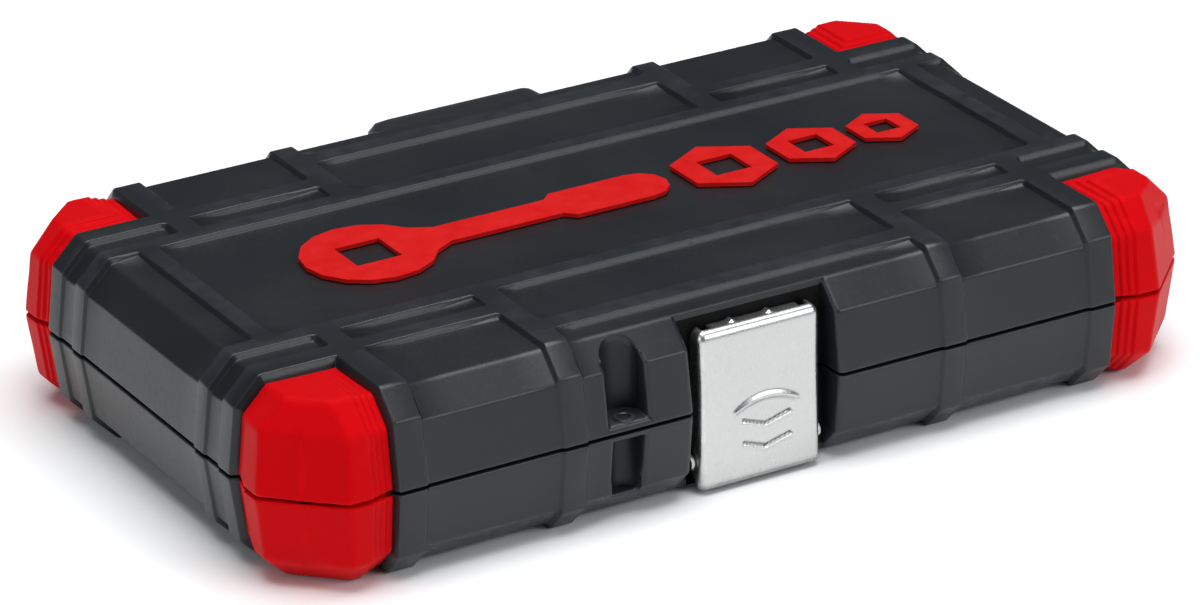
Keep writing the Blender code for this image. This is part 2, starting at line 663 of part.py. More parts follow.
def ratchet():
    """The ratchet lies on its side of the tray with its drive square down."""
    x, y = RATCHET_X, RATCHET_Y
    low, high = RATCHET_HEAD_Z
    middle = (low + high) / 2
    at = (x, y, middle)
    pear = arc((0.0, 0.0), RATCHET_HEAD_RADIUS, 40, 320, 18)
    pear += [(0.0170, -0.0052), (0.0230, -0.0046), (0.0230, 0.0046), (0.0170, 0.0052)]
    body = prism("ratchet_body", pear, RATCHET_HEAD_Z, CHROME, (x, y, 0.0))
    shank_x = (x + 0.0200, GRIP_START + 0.0005)
    tang_x = (GRIP_START - 0.001, GRIP_START + 0.0240)
    join(body, rod("ratchet_shank", 0.0045, shank_x, "X", at, None, 16))
    join(body, rod("ratchet_tang", 0.0034, tang_x, "X", at, None, 12))
    lever_at = (x + LEVER_OFFSET, y, 0.0)
    cut(
        body,
        rod("anvil_bore", 0.0055, (low - 0.001, 0.0013), "Z", at),
        rod("button_bore", 0.0026, (0.0, high + 0.001), "Z", at, None, 16),
        rod("lever_bore", 0.0018, (0.0030, high + 0.001), "Z", lever_at, None, 12),
    )

    grip_x = (GRIP_START + 0.0010, GRIP_END)
    bore_x = (GRIP_START, GRIP_START + 0.0260)
    grip = rod("ratchet_grip", GRIP_RADIUS, grip_x, "X", at, RED, 16)
    soften(grip, 0.0030, 2)
    cut(grip, rod("grip_bore", 0.0037, bore_x, "X", at, None, 12))

    anvil = rod("ratchet_anvil", 0.0052, (low - 0.0006, 0.0010), "Z", at, CHROME)
    join(anvil, square_rod("anvil_square", SQUARE, (low - 0.0082, low), "Z", at))
    move_origin(anvil, at)

    button_z = (0.0014 + BUTTON_TRAVEL, high + 0.0014)
    button = rod("ratchet_release_button", 0.0023, button_z, "Z", at, DARK_STEEL, 16)
    move_origin(button, (x, y, high))

    lever_z = (high + CLEAR, high + 0.0023)
    lever = rod("ratchet_reverse_lever", 0.0034, lever_z, "Z", lever_at, DARK_STEEL, 16)
    arm = box("lever_arm", (0.0, 0.0100), (-0.0014, 0.0014), (high + CLEAR, high + 0.0020))
    arm.location = lever_at
    arm.rotation_euler = (0.0, 0.0, math.radians(-22))
    join(lever, arm, rod("lever_stem", 0.0015, (0.0036, high + 0.001), "Z", lever_at, None, 12))
    move_origin(lever, (lever_at[0], y, high))


def soften(made, width, segments):
    """Rounds an object's sharp edges."""
    bevel = made.modifiers.new("Soften", "BEVEL")
    bevel.width = width
    bevel.segments = segments
    bevel.limit_method = "ANGLE"
    bevel.angle_limit = math.radians(50)


def spinner():
    z = REST_Z + SPINNER_RADIUS
    at = (0.0, SPINNER_Y, z)
    grip = rod("spinner_grip", SPINNER_RADIUS, (-0.0780, 0.0140), "X", at, RED, 16)
    soften(grip, 0.0040, 2)
    cut(grip, rod("spinner_grip_bore", 0.0033, (-0.0100, 0.0150), "X", at, None, 12))
    blade = rod("spinner_blade", 0.0030, (-0.0080, 0.0600), "X", at, CHROME, 12)
    join(blade, rod("spinner_collar", 0.0048, (0.0590, 0.0640), "X", at, None, 16))
    join(blade, square_rod("spinner_square", SQUARE, (0.0635, 0.0710), "X", at))


def bits():
    """Ten hexagon-shank bits, tips up: a plain prism below a round neck."""
    top = REST_Z + BIT_LENGTH
    for row in range(2):
        for column in range(5):
            at = (BIT_X + column * BIT_PITCH, BIT_Y + row * BIT_PITCH, 0.0)
            name = f"bit_{row * 5 + column + 1}"
            bit = rod(name, SQUARE / math.sqrt(3), (REST_Z, top - 0.0105), "Z", at, DARK_STEEL, 6)
            neck = 0.0026 - 0.0002 * column
            neck_z = (top - 0.0110, top)
            join(bit, rod(name + "_neck", neck, neck_z, "Z", at, None, 12, 0.0, neck * 0.6))


# ---------------------------------------------------------------- tray and liner


def round_pocket(name, radius, x, y):
    return rod(name, radius, (POCKET_FLOOR, 0.02), "Z", (x, y, 0.0), None, 16)


def tool_tray():
    """The moulded tray: a block that fills the base, with a pocket for each tool."""
    tray = hull("tool_tray", CAVITY_X - CLEAR, CAVITY_Y - CLEAR, -TRAY_BOTTOM, -1,
                CAVITY_CHAMFER, CAVITY_BEVEL)
    CUTTERS.objects.unlink(tray)
    PARTS.objects.link(tray)
    tray.hide_render = False
    tray.display_type = "TEXTURED"
    tray.data.materials.append(TRAY_GREY)
    cut(tray, box("tray_top", ALL_X, (-0.08, 0.08), (TRAY_TOP, 0.01)))
    latch_x = (-RECESS_HALF_X - 0.0024, RECESS_HALF_X + 0.0024)
    lock_x = (FRONT_NOTCH_X[0] - 0.0004, 0.0)
    cut(tray, box("tray_latch_notch", latch_x, (-0.08, -0.0438), (-0.03, 0.03)))
    cut(tray, box("tray_lock_notch", lock_x, (-0.08, -0.0488), (-0.03, 0.03)))
    for size, x, y in socket_places():
        cut(tray, round_pocket(f"pocket_socket_{size}", SOCKETS[size] / 2 + CLEAR, x, y))
    deep = (POCKET_FLOOR, 0.02)
    side = RATCHET_HEAD_RADIUS + CLEAR
    cut(tray, round_pocket("pocket_ratchet_head", side, RATCHET_X, RATCHET_Y))
    handle_y = (RATCHET_Y - GRIP_RADIUS - CLEAR, RATCHET_Y + GRIP_RADIUS + CLEAR)
    cut(tray, box("pocket_ratchet_grip", (RATCHET_X, GRIP_END + 0.001), handle_y, (-0.0086, 0.02)))
    spinner_y = (SPINNER_Y - SPINNER_RADIUS - CLEAR, SPINNER_Y + SPINNER_RADIUS + CLEAR)
    cut(tray, box("pocket_spinner_grip", (-0.0790, 0.0150), spinner_y, deep))
    blade_y = (SPINNER_Y - 0.0053, SPINNER_Y + 0.0053)
    cut(tray, box("pocket_spinner_blade", (0.0140, 0.0720), blade_y, (-0.0080, 0.02)))
    half = BAR_RADIUS + CLEAR
    cut(tray, box("pocket_long_bar", (-0.0868, 0.0400), (BAR_Y - half, BAR_Y + half), deep))
    short_y = (SMALL_ROW_Y - half, SMALL_ROW_Y + half)
    cut(tray, box("pocket_short_bar", (-0.0163, 0.0358), short_y, deep))
    cradle_y = (JOINT_Y - JOINT_RADIUS - CLEAR, JOINT_Y + JOINT_RADIUS + CLEAR)
    cut(tray, box("pocket_joint", (JOINT_X - 0.0193, JOINT_X + 0.001), cradle_y, deep))
    fan_y = (JOINT_Y - 0.0120, JOINT_Y + 0.0120)
    cut(tray, box("pocket_joint_fan", (JOINT_X, JOINT_X + 0.0210), fan_y, deep))
    bit_end = BIT_X + 4 * BIT_PITCH
    bit_x = (BIT_X - 0.0041, bit_end + 0.0041)
    bit_y = (BIT_Y - 0.0041, BIT_Y + BIT_PITCH + 0.0041)
    cut(tray, box("pocket_bits", bit_x, bit_y, deep))


def lid_liner():
    """A foam sheet in the lid that keeps the tools down."""
    x = CAVITY_X - 0.0060
    y = CAVITY_Y - 0.0060
    liner = box("lid_foam_liner", (-x, x), (-y, y), LINER_Z, FOAM)
    cut(liner, box("liner_notch", (-0.0350, 0.0180), (-0.08, -0.0450), (0.0, 0.03)))
    cut(liner, *[corner_chamfer(i, sx * x, sy * y) for i, (sx, sy) in enumerate(CORNERS)])


def corner_chamfer(index, x, y):
    return rod(f"liner_corner_{index}", 0.0130, (0.0, 0.03), "Z", (x, y, 0.0), None, 4, 0.0)


# ---------------------------------------------------------------- the whole set

lid_shell()
base_shell()
corner_caps()
badge()
latch_flap()
pins()
for one_size, place_x, place_y in socket_places():
    socket(one_size, place_x, place_y)
extension_bar("extension_bar_long", -0.0865, 0.1000, BAR_Y)
extension_bar("extension_bar_short", -0.0160, 0.0510, SMALL_ROW_Y)
bit_adaptor(0.0152)
universal_joint()
ratchet()
spinner()
bits()
tool_tray()
lid_liner()
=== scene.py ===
"""Looks for the quarter-inch drive socket wrench set in its hard case.

Every piece is worked out in millimetres from the middle of the parting plane between the lid
and the base, then put in the frame's metres. The latch is towards -Y and the hinge at +Y."""

import math

import bmesh
import bpy
import numpy as np
from mathutils import Matrix, Vector


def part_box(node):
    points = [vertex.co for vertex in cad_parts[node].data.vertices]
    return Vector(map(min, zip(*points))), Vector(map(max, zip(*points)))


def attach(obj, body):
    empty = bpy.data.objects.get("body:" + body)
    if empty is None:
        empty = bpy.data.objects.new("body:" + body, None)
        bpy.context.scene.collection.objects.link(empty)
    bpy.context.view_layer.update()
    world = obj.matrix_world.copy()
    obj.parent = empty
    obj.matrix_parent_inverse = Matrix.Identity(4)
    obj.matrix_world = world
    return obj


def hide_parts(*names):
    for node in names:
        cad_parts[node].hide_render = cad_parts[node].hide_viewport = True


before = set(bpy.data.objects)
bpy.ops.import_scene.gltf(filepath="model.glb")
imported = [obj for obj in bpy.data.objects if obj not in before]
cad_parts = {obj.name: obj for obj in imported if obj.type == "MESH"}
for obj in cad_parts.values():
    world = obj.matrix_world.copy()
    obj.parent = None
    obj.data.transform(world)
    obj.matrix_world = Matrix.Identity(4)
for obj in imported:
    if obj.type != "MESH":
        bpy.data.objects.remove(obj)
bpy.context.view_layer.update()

# ---- Where the case stands, from the frame.
MM = 0.001
FRONT_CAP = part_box("lid_cap_front_right")
REAR_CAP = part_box("lid_cap_rear_right")
LID_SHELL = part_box("lid_shell")
BASE_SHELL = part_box("base_shell")
HALF_X = FRONT_CAP[1].x / MM
HALF_Y = (REAR_CAP[1].y - FRONT_CAP[0].y) / 2 / MM
HALF_Z = (LID_SHELL[1].z - BASE_SHELL[0].z) / 2 / MM
CASE_PLACE = Vector(
    (0.0, (REAR_CAP[1].y + FRONT_CAP[0].y) / 2, (LID_SHELL[1].z + BASE_SHELL[0].z) / 2)
)

# ---- Case form, in mm: the same driving sizes as the solids.
DRAFT = 1.6
TOP_BEVEL = 5.0
CORNER_CHAMFER = 12.0
PARTING_GAP = 0.3
PANEL_DROP = 1.0
PANEL_SIDE_DROP = 0.4
STEP_WIDTH = 0.7
PANEL_CORNER = 1.2
CAVITY = (89.5, 52.7, 14.6)
CAVITY_CHAMFER = 11.0
CAVITY_BEVEL = 3.0
MID_BAND_X = (36.5, 41.4)
END_BAND_X = (67.9, 72.4)
CENTRE_PANEL = (78.4, 22.4)
SIDE_PANEL_X = 82.4
STRIP_Y = (26.6, 31.6)
EDGE_PANEL_Y = 35.8
MIDDLE_STRIP_Y = 41.8
LATCH_PANEL_Y = 46.6
SEAT_X = 74.0
SEAT_Y = 36.8
CAP_X = 74.05
CAP_Y = 36.85
CAP_TOP_DROP = 0.5
RECESS_HALF_X = 15.0
RECESS_BACK_Y = -51.2
SWING_HALF_X = 13.2
SWING_RADIUS = 5.9
LATCH_PIN = (-52.0, -11.8)
LOCK_X = -28.0
LOCK_HALF_WIDTH = 3.8
LOCK_BACK_Y = -51.6
LOCK_FLOOR = 1.9
LOCK_ARCH_Z = 12.2
LOCK_GROOVE_Z = (-12.6, -1.5)
GROOVE_HALF_WIDTH = 3.0
GROOVE_BACK_Y = -52.6
FAR = 200.0
RING_POINTS = 48


# ---------------------------------------------------------------- meshes


def add_piece(name, points, faces, finish, body, stands_for=(), sharp=38.0, outward=None):
    """A piece from points in case millimetres. With outward, its faces are turned to that side."""
    mesh = bpy.data.meshes.new(name)
    placed = np.asarray(points, float) * MM + np.array(CASE_PLACE)
    mesh.from_pydata(placed.tolist(), [], [tuple(int(i) for i in face) for face in faces])
    bm = bmesh.new()
    bm.from_mesh(mesh)
    bmesh.ops.remove_doubles(bm, verts=bm.verts, dist=0.000002)
    bmesh.ops.dissolve_degenerate(bm, edges=bm.edges, dist=0.000001)
    if outward is None:
        bmesh.ops.recalc_face_normals(bm, faces=bm.faces)
    else:
        middle = sum((v.co for v in bm.verts), Vector()) / len(bm.verts)
        lean = sum(f.normal.dot(f.calc_center_median() - middle) * f.calc_area() for f in bm.faces)
        if outward == "front":
            lean = -sum(f.normal.y * f.calc_area() for f in bm.faces)
        if (lean > 0) != bool(outward):
            bmesh.ops.reverse_faces(bm, faces=bm.faces)
    bm.to_mesh(mesh)
    bm.free()
    mesh.shade_smooth()
    mesh.set_sharp_from_angle(angle=math.radians(sharp))
    piece = bpy.data.objects.new(name, mesh)
    bpy.context.scene.collection.objects.link(piece)
    mesh.materials.append(finish)
    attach(piece, body)
    if stands_for:
        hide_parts(*stands_for)
    return piece


def grid_faces(rows, columns, is_kept=None, is_closed=False):
    """Quads of a grid of points numbered row by row."""
    faces = []
    for i in range(rows - 1):
        for j in range(columns if is_closed else columns - 1):
            if is_kept is not None and not is_kept[i, j]:
                continue
            k = (j + 1) % columns
            faces.append((i * columns + j, i * columns + k, (i + 1) * columns + k, (i + 1) * columns + j))
    return faces


def smooth_step(low, high, value):
    t = np.clip((np.asarray(value, float) - low) / (high - low), 0.0, 1.0)
    return t * t * (3.0 - 2.0 * t)


def edge_round(distance, radius):
    """How far a rounded edge falls back, at a distance from the edge along the surface."""
    reach = np.clip(radius - np.asarray(distance, float), 0.0, radius)
    return radius - np.sqrt(radius * radius - reach * reach)


def rounded_path(corners, radii, spans, turns):
    """Points along a flat path: spans[i] steps on each straight run, turns[i] round each corner."""
    corners = [np.array(corner, float) for corner in corners]
    points = [corners[0]]
    start = corners[0]
    for i, corner in enumerate(corners[1:-1]):
        back = (start - corner) / np.linalg.norm(start - corner)
        ahead = (corners[i + 2] - corner) / np.linalg.norm(corners[i + 2] - corner)
        half_turn = (math.pi - math.acos(np.clip(back @ ahead, -1, 1))) / 2
        cut = radii[i] * math.tan(half_turn)
        arrive, leave = corner + back * cut, corner + ahead * cut
        points += [start + (arrive - start) * (k + 1) / spans[i] for k in range(spans[i])]
        for k in range(turns[i]):
            t = (k + 1) / turns[i]
            points.append((1 - t) ** 2 * arrive + 2 * t * (1 - t) * corner + t * t * leave)
        start = leave
    last = corners[-1]
    points += [start + (last - start) * (k + 1) / spans[-1] for k in range(spans[-1])]
    return np.array(points)


def path_normals(points):
    """Unit normals of a path in the (outward, up) plane, on its outer side."""
    along = np.gradient(points, axis=0)
    along /= np.linalg.norm(along, axis=1)[:, None]
    return np.stack([-along[:, 1], along[:, 0]], 1)


def merged_lines(groups, low, high, widest):
    """Sorted grid lines between low and high, none closer than a hair or wider apart than widest."""
    found = sorted({round(float(v), 3) for group in groups for v in group if low < v < high})
    lines = [low]
    for value in [*found, high]:
        if value - lines[-1] < 0.045:
            if value == high:
                lines[-1] = high
            continue
        extra = int((value - lines[-1]) // widest)
        start = lines[-1]
        lines += [start + (value - start) * (k + 1) / (extra + 1) for k in range(extra)]
        lines.append(value)
    return np.array(lines)


# ---------------------------------------------------------------- shader groups and finishes


def shader_node(tree, kind, values=None, **settings):
    """A node with its settings, and with each named socket set or linked."""
    made = tree.nodes.new(kind)
    for key, value in settings.items():
        setattr(made, key, value)
    for key, value in (values or {}).items():
        if isinstance(value, bpy.types.NodeSocket):
            tree.links.new(value, made.inputs[key])
        else:
            made.inputs[key].default_value = value
    return made


def maths(tree, operation, first, second=0.0):
    made = tree.nodes.new("ShaderNodeMath")
    made.operation = operation
    for socket, value in zip(made.inputs, (first, second)):
        if isinstance(value, bpy.types.NodeSocket):
            tree.links.new(value, socket)
        else:
            socket.default_value = value
    return made.outputs[0]


def value_range(tree, value, old, new):
    return shader_node(
        tree, "ShaderNodeMapRange",
        {"Value": value, "From Min": old[0], "From Max": old[1], "To Min": new[0], "To Max": new[1]},
    ).outputs["Result"]


def colour_mix(tree, factor, first, second, blend="MIX"):
    made = shader_node(tree, "ShaderNodeMix", data_type="RGBA", blend_type=blend)
    for socket, value in ((made.inputs[0], factor), (made.inputs[6], first), (made.inputs[7], second)):
        if isinstance(value, bpy.types.NodeSocket):
            tree.links.new(value, socket)
        elif isinstance(value, float):
            socket.default_value = value
        else:
            socket.default_value = (*value, 1.0)
    return made.outputs[2]


def new_group(name, inputs, outputs):
    """An empty shader group: (tree, input sockets, output sockets)."""
    tree = bpy.data.node_groups.new(name, "ShaderNodeTree")
    for label, value in inputs.items():
        kind = "NodeSocketVector" if isinstance(value, tuple) else "NodeSocketFloat"
        tree.interface.new_socket(label, in_out="INPUT", socket_type=kind).default_value = value
    for label in outputs:
        tree.interface.new_socket(label, in_out="OUTPUT", socket_type="NodeSocketFloat")
    entry = tree.nodes.new("NodeGroupInput")
    leave = tree.nodes.new("NodeGroupOutput")
    return tree, entry.outputs, leave.inputs


def place_noise(tree, where, scale, detail=3.0, roughness=0.55):
    return shader_node(
        tree, "ShaderNodeTexNoise",
        {"Vector": where, "Scale": scale, "Detail": detail, "Roughness": roughness},
    ).outputs["Fac"]


def moulded_grain_group():
    """The fine spark-eroded grain of moulded plastic, and the slow change of shade across it."""
    tree, given, out = new_group(
        "moulded grain", {"Grain": 2600.0, "Mottle": 45.0}, ("Height", "Shade", "Speckle")
    )
    where = tree.nodes.new("ShaderNodeTexCoord").outputs["Object"]
    fine = place_noise(tree, where, given["Grain"], 2.0, 0.6)
    coarse = place_noise(tree, where, maths(tree, "MULTIPLY", given["Grain"], 0.37), 2.0)
    pits = shader_node(
        tree, "ShaderNodeTexVoronoi",
        {"Vector": where, "Scale": maths(tree, "MULTIPLY", given["Grain"], 0.6)},
        feature="SMOOTH_F1",
    ).outputs["Distance"]
    height = maths(tree, "ADD", maths(tree, "MULTIPLY", fine, 0.5), maths(tree, "MULTIPLY", coarse, 0.3))
    height = maths(tree, "ADD", height, maths(tree, "MULTIPLY", pits, 0.35))
    tree.links.new(height, out["Height"])
    tree.links.new(place_noise(tree, where, given["Mottle"], 4.0), out["Shade"])
    tree.links.new(value_range(tree, coarse, (0.55, 0.75), (0.0, 1.0)), out["Speckle"])
    return tree


def edge_rub_highlight_and_shade_group():
    """Where raised edges have been rubbed, which also stands for a painted highlight along them, broken up by noise,
    and the hollows, for painted shade in creases.
    """
    tree, given, out = new_group("edge rub, painted highlight and hollow shade", {"Reach": 0.05, "Breakup": 260.0}, ("Mask", "Painted Hollow Shade"))
    where = tree.nodes.new("ShaderNodeTexCoord").outputs["Object"]
    bulge = tree.nodes.new("ShaderNodeNewGeometry").outputs["Pointiness"]
    top = maths(tree, "ADD", 0.51, given["Reach"])
    edge = shader_node(tree, "ShaderNodeMapRange", {"Value": bulge, "From Min": 0.51, "From Max": top})
    patch = value_range(tree, place_noise(tree, where, given["Breakup"], 4.0), (0.3, 0.65), (0.0, 1.0))
    tree.links.new(maths(tree, "MULTIPLY", edge.outputs["Result"], patch), out["Mask"])
    # Hollows, by low pointiness: a mask for painted shade in creases and steps.
    tree.links.new(value_range(tree, bulge, (0.49, 0.43), (0.0, 1.0)), out["Painted Hollow Shade"])
    return tree


def hairline_group():
    """Fine parallel lines, as rolling, polishing or light handling leaves on a surface."""
    tree, given, out = new_group(
        "hairlines", {"Stretch": (900.0, 900.0, 30.0), "Sharpness": 0.1}, ("Height", "Mask")
    )
    where = tree.nodes.new("ShaderNodeTexCoord").outputs["Object"]
    pulled = shader_node(
        tree, "ShaderNodeVectorMath", {0: where, 1: given["Stretch"]}, operation="MULTIPLY"
    ).outputs["Vector"]
    lines = place_noise(tree, pulled, 1.0, 5.0, 0.65)
    top = maths(tree, "ADD", 0.6, given["Sharpness"])
    mask = shader_node(tree, "ShaderNodeMapRange", {"Value": lines, "From Min": 0.6, "From Max": top})
    tree.links.new(lines, out["Height"])
    tree.links.new(mask.outputs["Result"], out["Mask"])
    return tree


def settled_dust_group():
    """A thin film of dust that settles on what faces up, in patches."""
    tree, given, out = new_group("settled dust", {"Cover": 0.3}, ("Mask",))
    where = tree.nodes.new("ShaderNodeTexCoord").outputs["Object"]
    normal = tree.nodes.new("ShaderNodeNewGeometry").outputs["Normal"]
    up = shader_node(tree, "ShaderNodeSeparateXYZ", {"Vector": normal}).outputs["Z"]
    facing = value_range(tree, up, (0.2, 0.95), (0.0, 1.0))
    patch = value_range(tree, place_noise(tree, where, 30.0, 6.0), (0.35, 0.75), (0.0, 1.0))
    mask = maths(tree, "MULTIPLY", facing, patch)
    tree.links.new(maths(tree, "MULTIPLY", mask, given["Cover"]), out["Mask"])
    return tree


GRAIN = moulded_grain_group()
EDGE_RUB_HIGHLIGHT_AND_SHADE = edge_rub_highlight_and_shade_group()
HAIRLINES = hairline_group()
DUST = settled_dust_group()


def group_node(tree, group, **values):
    made = shader_node(tree, "ShaderNodeGroup", node_tree=group)
    for key, value in values.items():
        made.inputs[key].default_value = value
    return made.outputs


def new_finish(name, metallic=0.0, gloss=0.5, gloss_tint=(1.0, 1.0, 1.0)):
    finish = bpy.data.materials.new(name)
    finish.use_nodes = True
    tree = finish.node_tree
    shader = tree.nodes["Principled BSDF"]
    shader.inputs["Metallic"].default_value = metallic
    shader.inputs["Specular IOR Level"].default_value = gloss
    shader.inputs["Specular Tint"].default_value = (*gloss_tint, 1.0)
    return finish, tree, shader


def connect(tree, shader, colour, roughness, height, strength, depth):
    """The last step of every finish: colour, roughness and relief into the shader."""
    bump = shader_node(
        tree, "ShaderNodeBump", {"Height": height, "Strength": strength, "Distance": depth}
    )
    tree.links.new(colour, shader.inputs["Base Color"])
    tree.links.new(roughness, shader.inputs["Roughness"])
    tree.links.new(bump.outputs["Normal"], shader.inputs["Normal"])


def plastic(name, dark, light, rub_and_highlight, roughness, grain=2600.0, strength=0.25, dust=0.1, gloss=0.3, tint=(1.0, 1.0, 1.0)):
    """Moulded plastic: two shades of one colour, a fine grain, edges lightened as rubbed wear and painted highlight,
    painted shade in hollows and a little dust.
    """
    finish, tree, shader = new_finish(name, 0.0, gloss, tint)
    surface = group_node(tree, GRAIN, Grain=grain)
    wear_and_painted_light = group_node(tree, EDGE_RUB_HIGHLIGHT_AND_SHADE)
    edges = wear_and_painted_light["Mask"]
    film = group_node(tree, DUST, Cover=dust)["Mask"]
    scuffs = group_node(tree, HAIRLINES, Stretch=(160.0, 900.0, 500.0), Sharpness=0.2)
    colour = colour_mix(tree, surface["Shade"], dark, light)
    # Raised edges lightened towards the rub colour: rubbed wear and a painted highlight.
    colour = colour_mix(tree, maths(tree, "MULTIPLY", edges, 0.5), colour, rub_and_highlight)
    # Creases and steps darkened towards a deeper tone of the colour: painted shade.
    shade = tuple(0.35 * value for value in dark)
    colour = colour_mix(tree, maths(tree, "MULTIPLY", wear_and_painted_light["Painted Hollow Shade"], 0.7), colour, shade)
    colour = colour_mix(tree, film, colour, (0.35, 0.34, 0.33))
    rough = value_range(tree, surface["Speckle"], (0.0, 1.0), (roughness, roughness + 0.08))
    rough = maths(tree, "ADD", rough, maths(tree, "MULTIPLY", scuffs["Mask"], 0.06))
    rough = maths(tree, "SUBTRACT", rough, maths(tree, "MULTIPLY", edges, 0.08))
    connect(tree, shader, colour, rough, surface["Height"], strength, 0.00006)
    return finish


def metal(name, dark, light, roughness, stretch, relief=0.05, stain=0.0):
    """Bare or plated steel: drawn or ground lines, faint stains, brighter edges and painted shade in hollows."""
    finish, tree, shader = new_finish(name, metallic=1.0)
    lines = group_node(tree, HAIRLINES, Stretch=stretch, Sharpness=0.15)
    surface = group_node(tree, GRAIN, Grain=1500.0, Mottle=90.0)
    wear_and_painted_light = group_node(tree, EDGE_RUB_HIGHLIGHT_AND_SHADE, Reach=0.08)
    bright = tuple(min(1.0, c * 1.2) for c in light)
    colour = colour_mix(tree, surface["Shade"], dark, light)
    colour = colour_mix(tree, maths(tree, "MULTIPLY", wear_and_painted_light["Mask"], 0.5), colour, bright)
    # Creases darkened almost to black: painted shade.
    colour = colour_mix(tree, maths(tree, "MULTIPLY", wear_and_painted_light["Painted Hollow Shade"], 0.85), colour, (0.05, 0.05, 0.05))
    rough = value_range(tree, lines["Height"], (0.3, 0.7), (roughness * 0.75, roughness * 1.3))
    rough = maths(tree, "ADD", rough, maths(tree, "MULTIPLY", surface["Shade"], stain))
    connect(tree, shader, colour, rough, lines["Height"], relief, 0.00005)
    return finish


def foam(name):
    """Closed-cell foam: matt, with small open pores."""
    finish, tree, shader = new_finish(name)
    surface = group_node(tree, GRAIN, Grain=900.0, Mottle=60.0)
    colour = colour_mix(tree, surface["Speckle"], (0.030, 0.030, 0.032), (0.012, 0.012, 0.013))
    rough = value_range(tree, surface["Shade"], (0.0, 1.0), (0.88, 1.0))
    connect(tree, shader, colour, rough, surface["Height"], 0.8, 0.0003)
    return finish


# The case black's rub colour is a light blue-grey: on raised edges it is a painted highlight as well as rubbed wear.
BLACK = plastic("case black plastic", (0.0064, 0.0078, 0.0096), (0.0092, 0.0110, 0.0134), (0.055, 0.064, 0.076), 0.34, strength=0.45, dust=0.03, gloss=0.42)
# Darker, duller copies of the case black for the latch recess and lock pocket walls: painted shade in the recesses.
RECESS_SHADE_BLACK = plastic("recess black plastic, painted shade", (0.003, 0.003, 0.0034), (0.005, 0.005, 0.0056), (0.02, 0.02, 0.02), 0.6, dust=0.0, gloss=0.1)
POCKET_SHADE_BLACK = plastic("pocket black plastic, painted shade", (0.005, 0.0058, 0.0066), (0.008, 0.0090, 0.0102), (0.05, 0.057, 0.066), 0.42, dust=0.0, gloss=0.34)
RED = plastic("corner red plastic", (0.50, 0.0020, 0.0040), (0.58, 0.0026, 0.0050), (0.66, 0.004, 0.006), 0.5, dust=0.0, gloss=0.13, tint=(1.0, 0.02, 0.03))
BADGE_RED = plastic("badge red plastic", (0.50, 0.006, 0.006), (0.57, 0.007, 0.008), (0.62, 0.02, 0.016), 0.5, dust=0.0, gloss=0.15, tint=(1.0, 0.05, 0.05))
GRIP_RED = plastic("grip red rubber", (0.45, 0.004, 0.005), (0.55, 0.006, 0.008), (0.65, 0.03, 0.03), 0.5, 1800.0, 0.35)
GRIP_BLACK = plastic("grip black rubber", (0.014, 0.014, 0.015), (0.022, 0.022, 0.023), (0.05, 0.05, 0.05), 0.62, 1500.0, 0.4)
TRAY_BLACK = plastic("tray black plastic", (0.020, 0.021, 0.022), (0.028, 0.029, 0.031), (0.06, 0.06, 0.06), 0.5, 2000.0, 0.35)
LATCH_STEEL = metal("latch sheet steel", (0.53, 0.53, 0.52), (0.61, 0.61, 0.60), 0.27, (6000.0, 6000.0, 900.0), 0.01, 0.06)
PIN_STEEL = metal("pin steel", (0.50, 0.50, 0.50), (0.62, 0.62, 0.61), 0.28, (40.0, 900.0, 900.0))
CHROME = metal("tool chrome", (0.66, 0.67, 0.69), (0.74, 0.75, 0.77), 0.17, (4000.0, 4000.0, 300.0), 0.01, 0.03)
DARK_STEEL = metal("dark lever steel", (0.20, 0.20, 0.21), (0.28, 0.28, 0.29), 0.32, (3000.0, 3000.0, 300.0))
BIT_STEEL = metal("bit steel", (0.30, 0.30, 0.31), (0.42, 0.42, 0.43), 0.34, (3000.0, 3000.0, 300.0), 0.03, 0.08)
FOAM = foam("liner foam")


# ---------------------------------------------------------------- case shells


def fold_lines(half, drop, bevel_steps, wall_steps):
    """One side of a shell from just inside its top edge, over the bevel, down the wall and in."""
    half -= PANEL_SIDE_DROP * drop
    top = HALF_Z - PANEL_DROP * drop
    corners = [
        (half - DRAFT - TOP_BEVEL - 1.5, top),
        (half - DRAFT - TOP_BEVEL, top),
        (half - DRAFT, top - TOP_BEVEL),
        (half, PARTING_GAP),
        (half - 1.9, PARTING_GAP),
    ]
    return rounded_path(corners, (1.7, 1.2, 0.45), (1, bevel_steps, wall_steps, 2), (7, 7, 5))


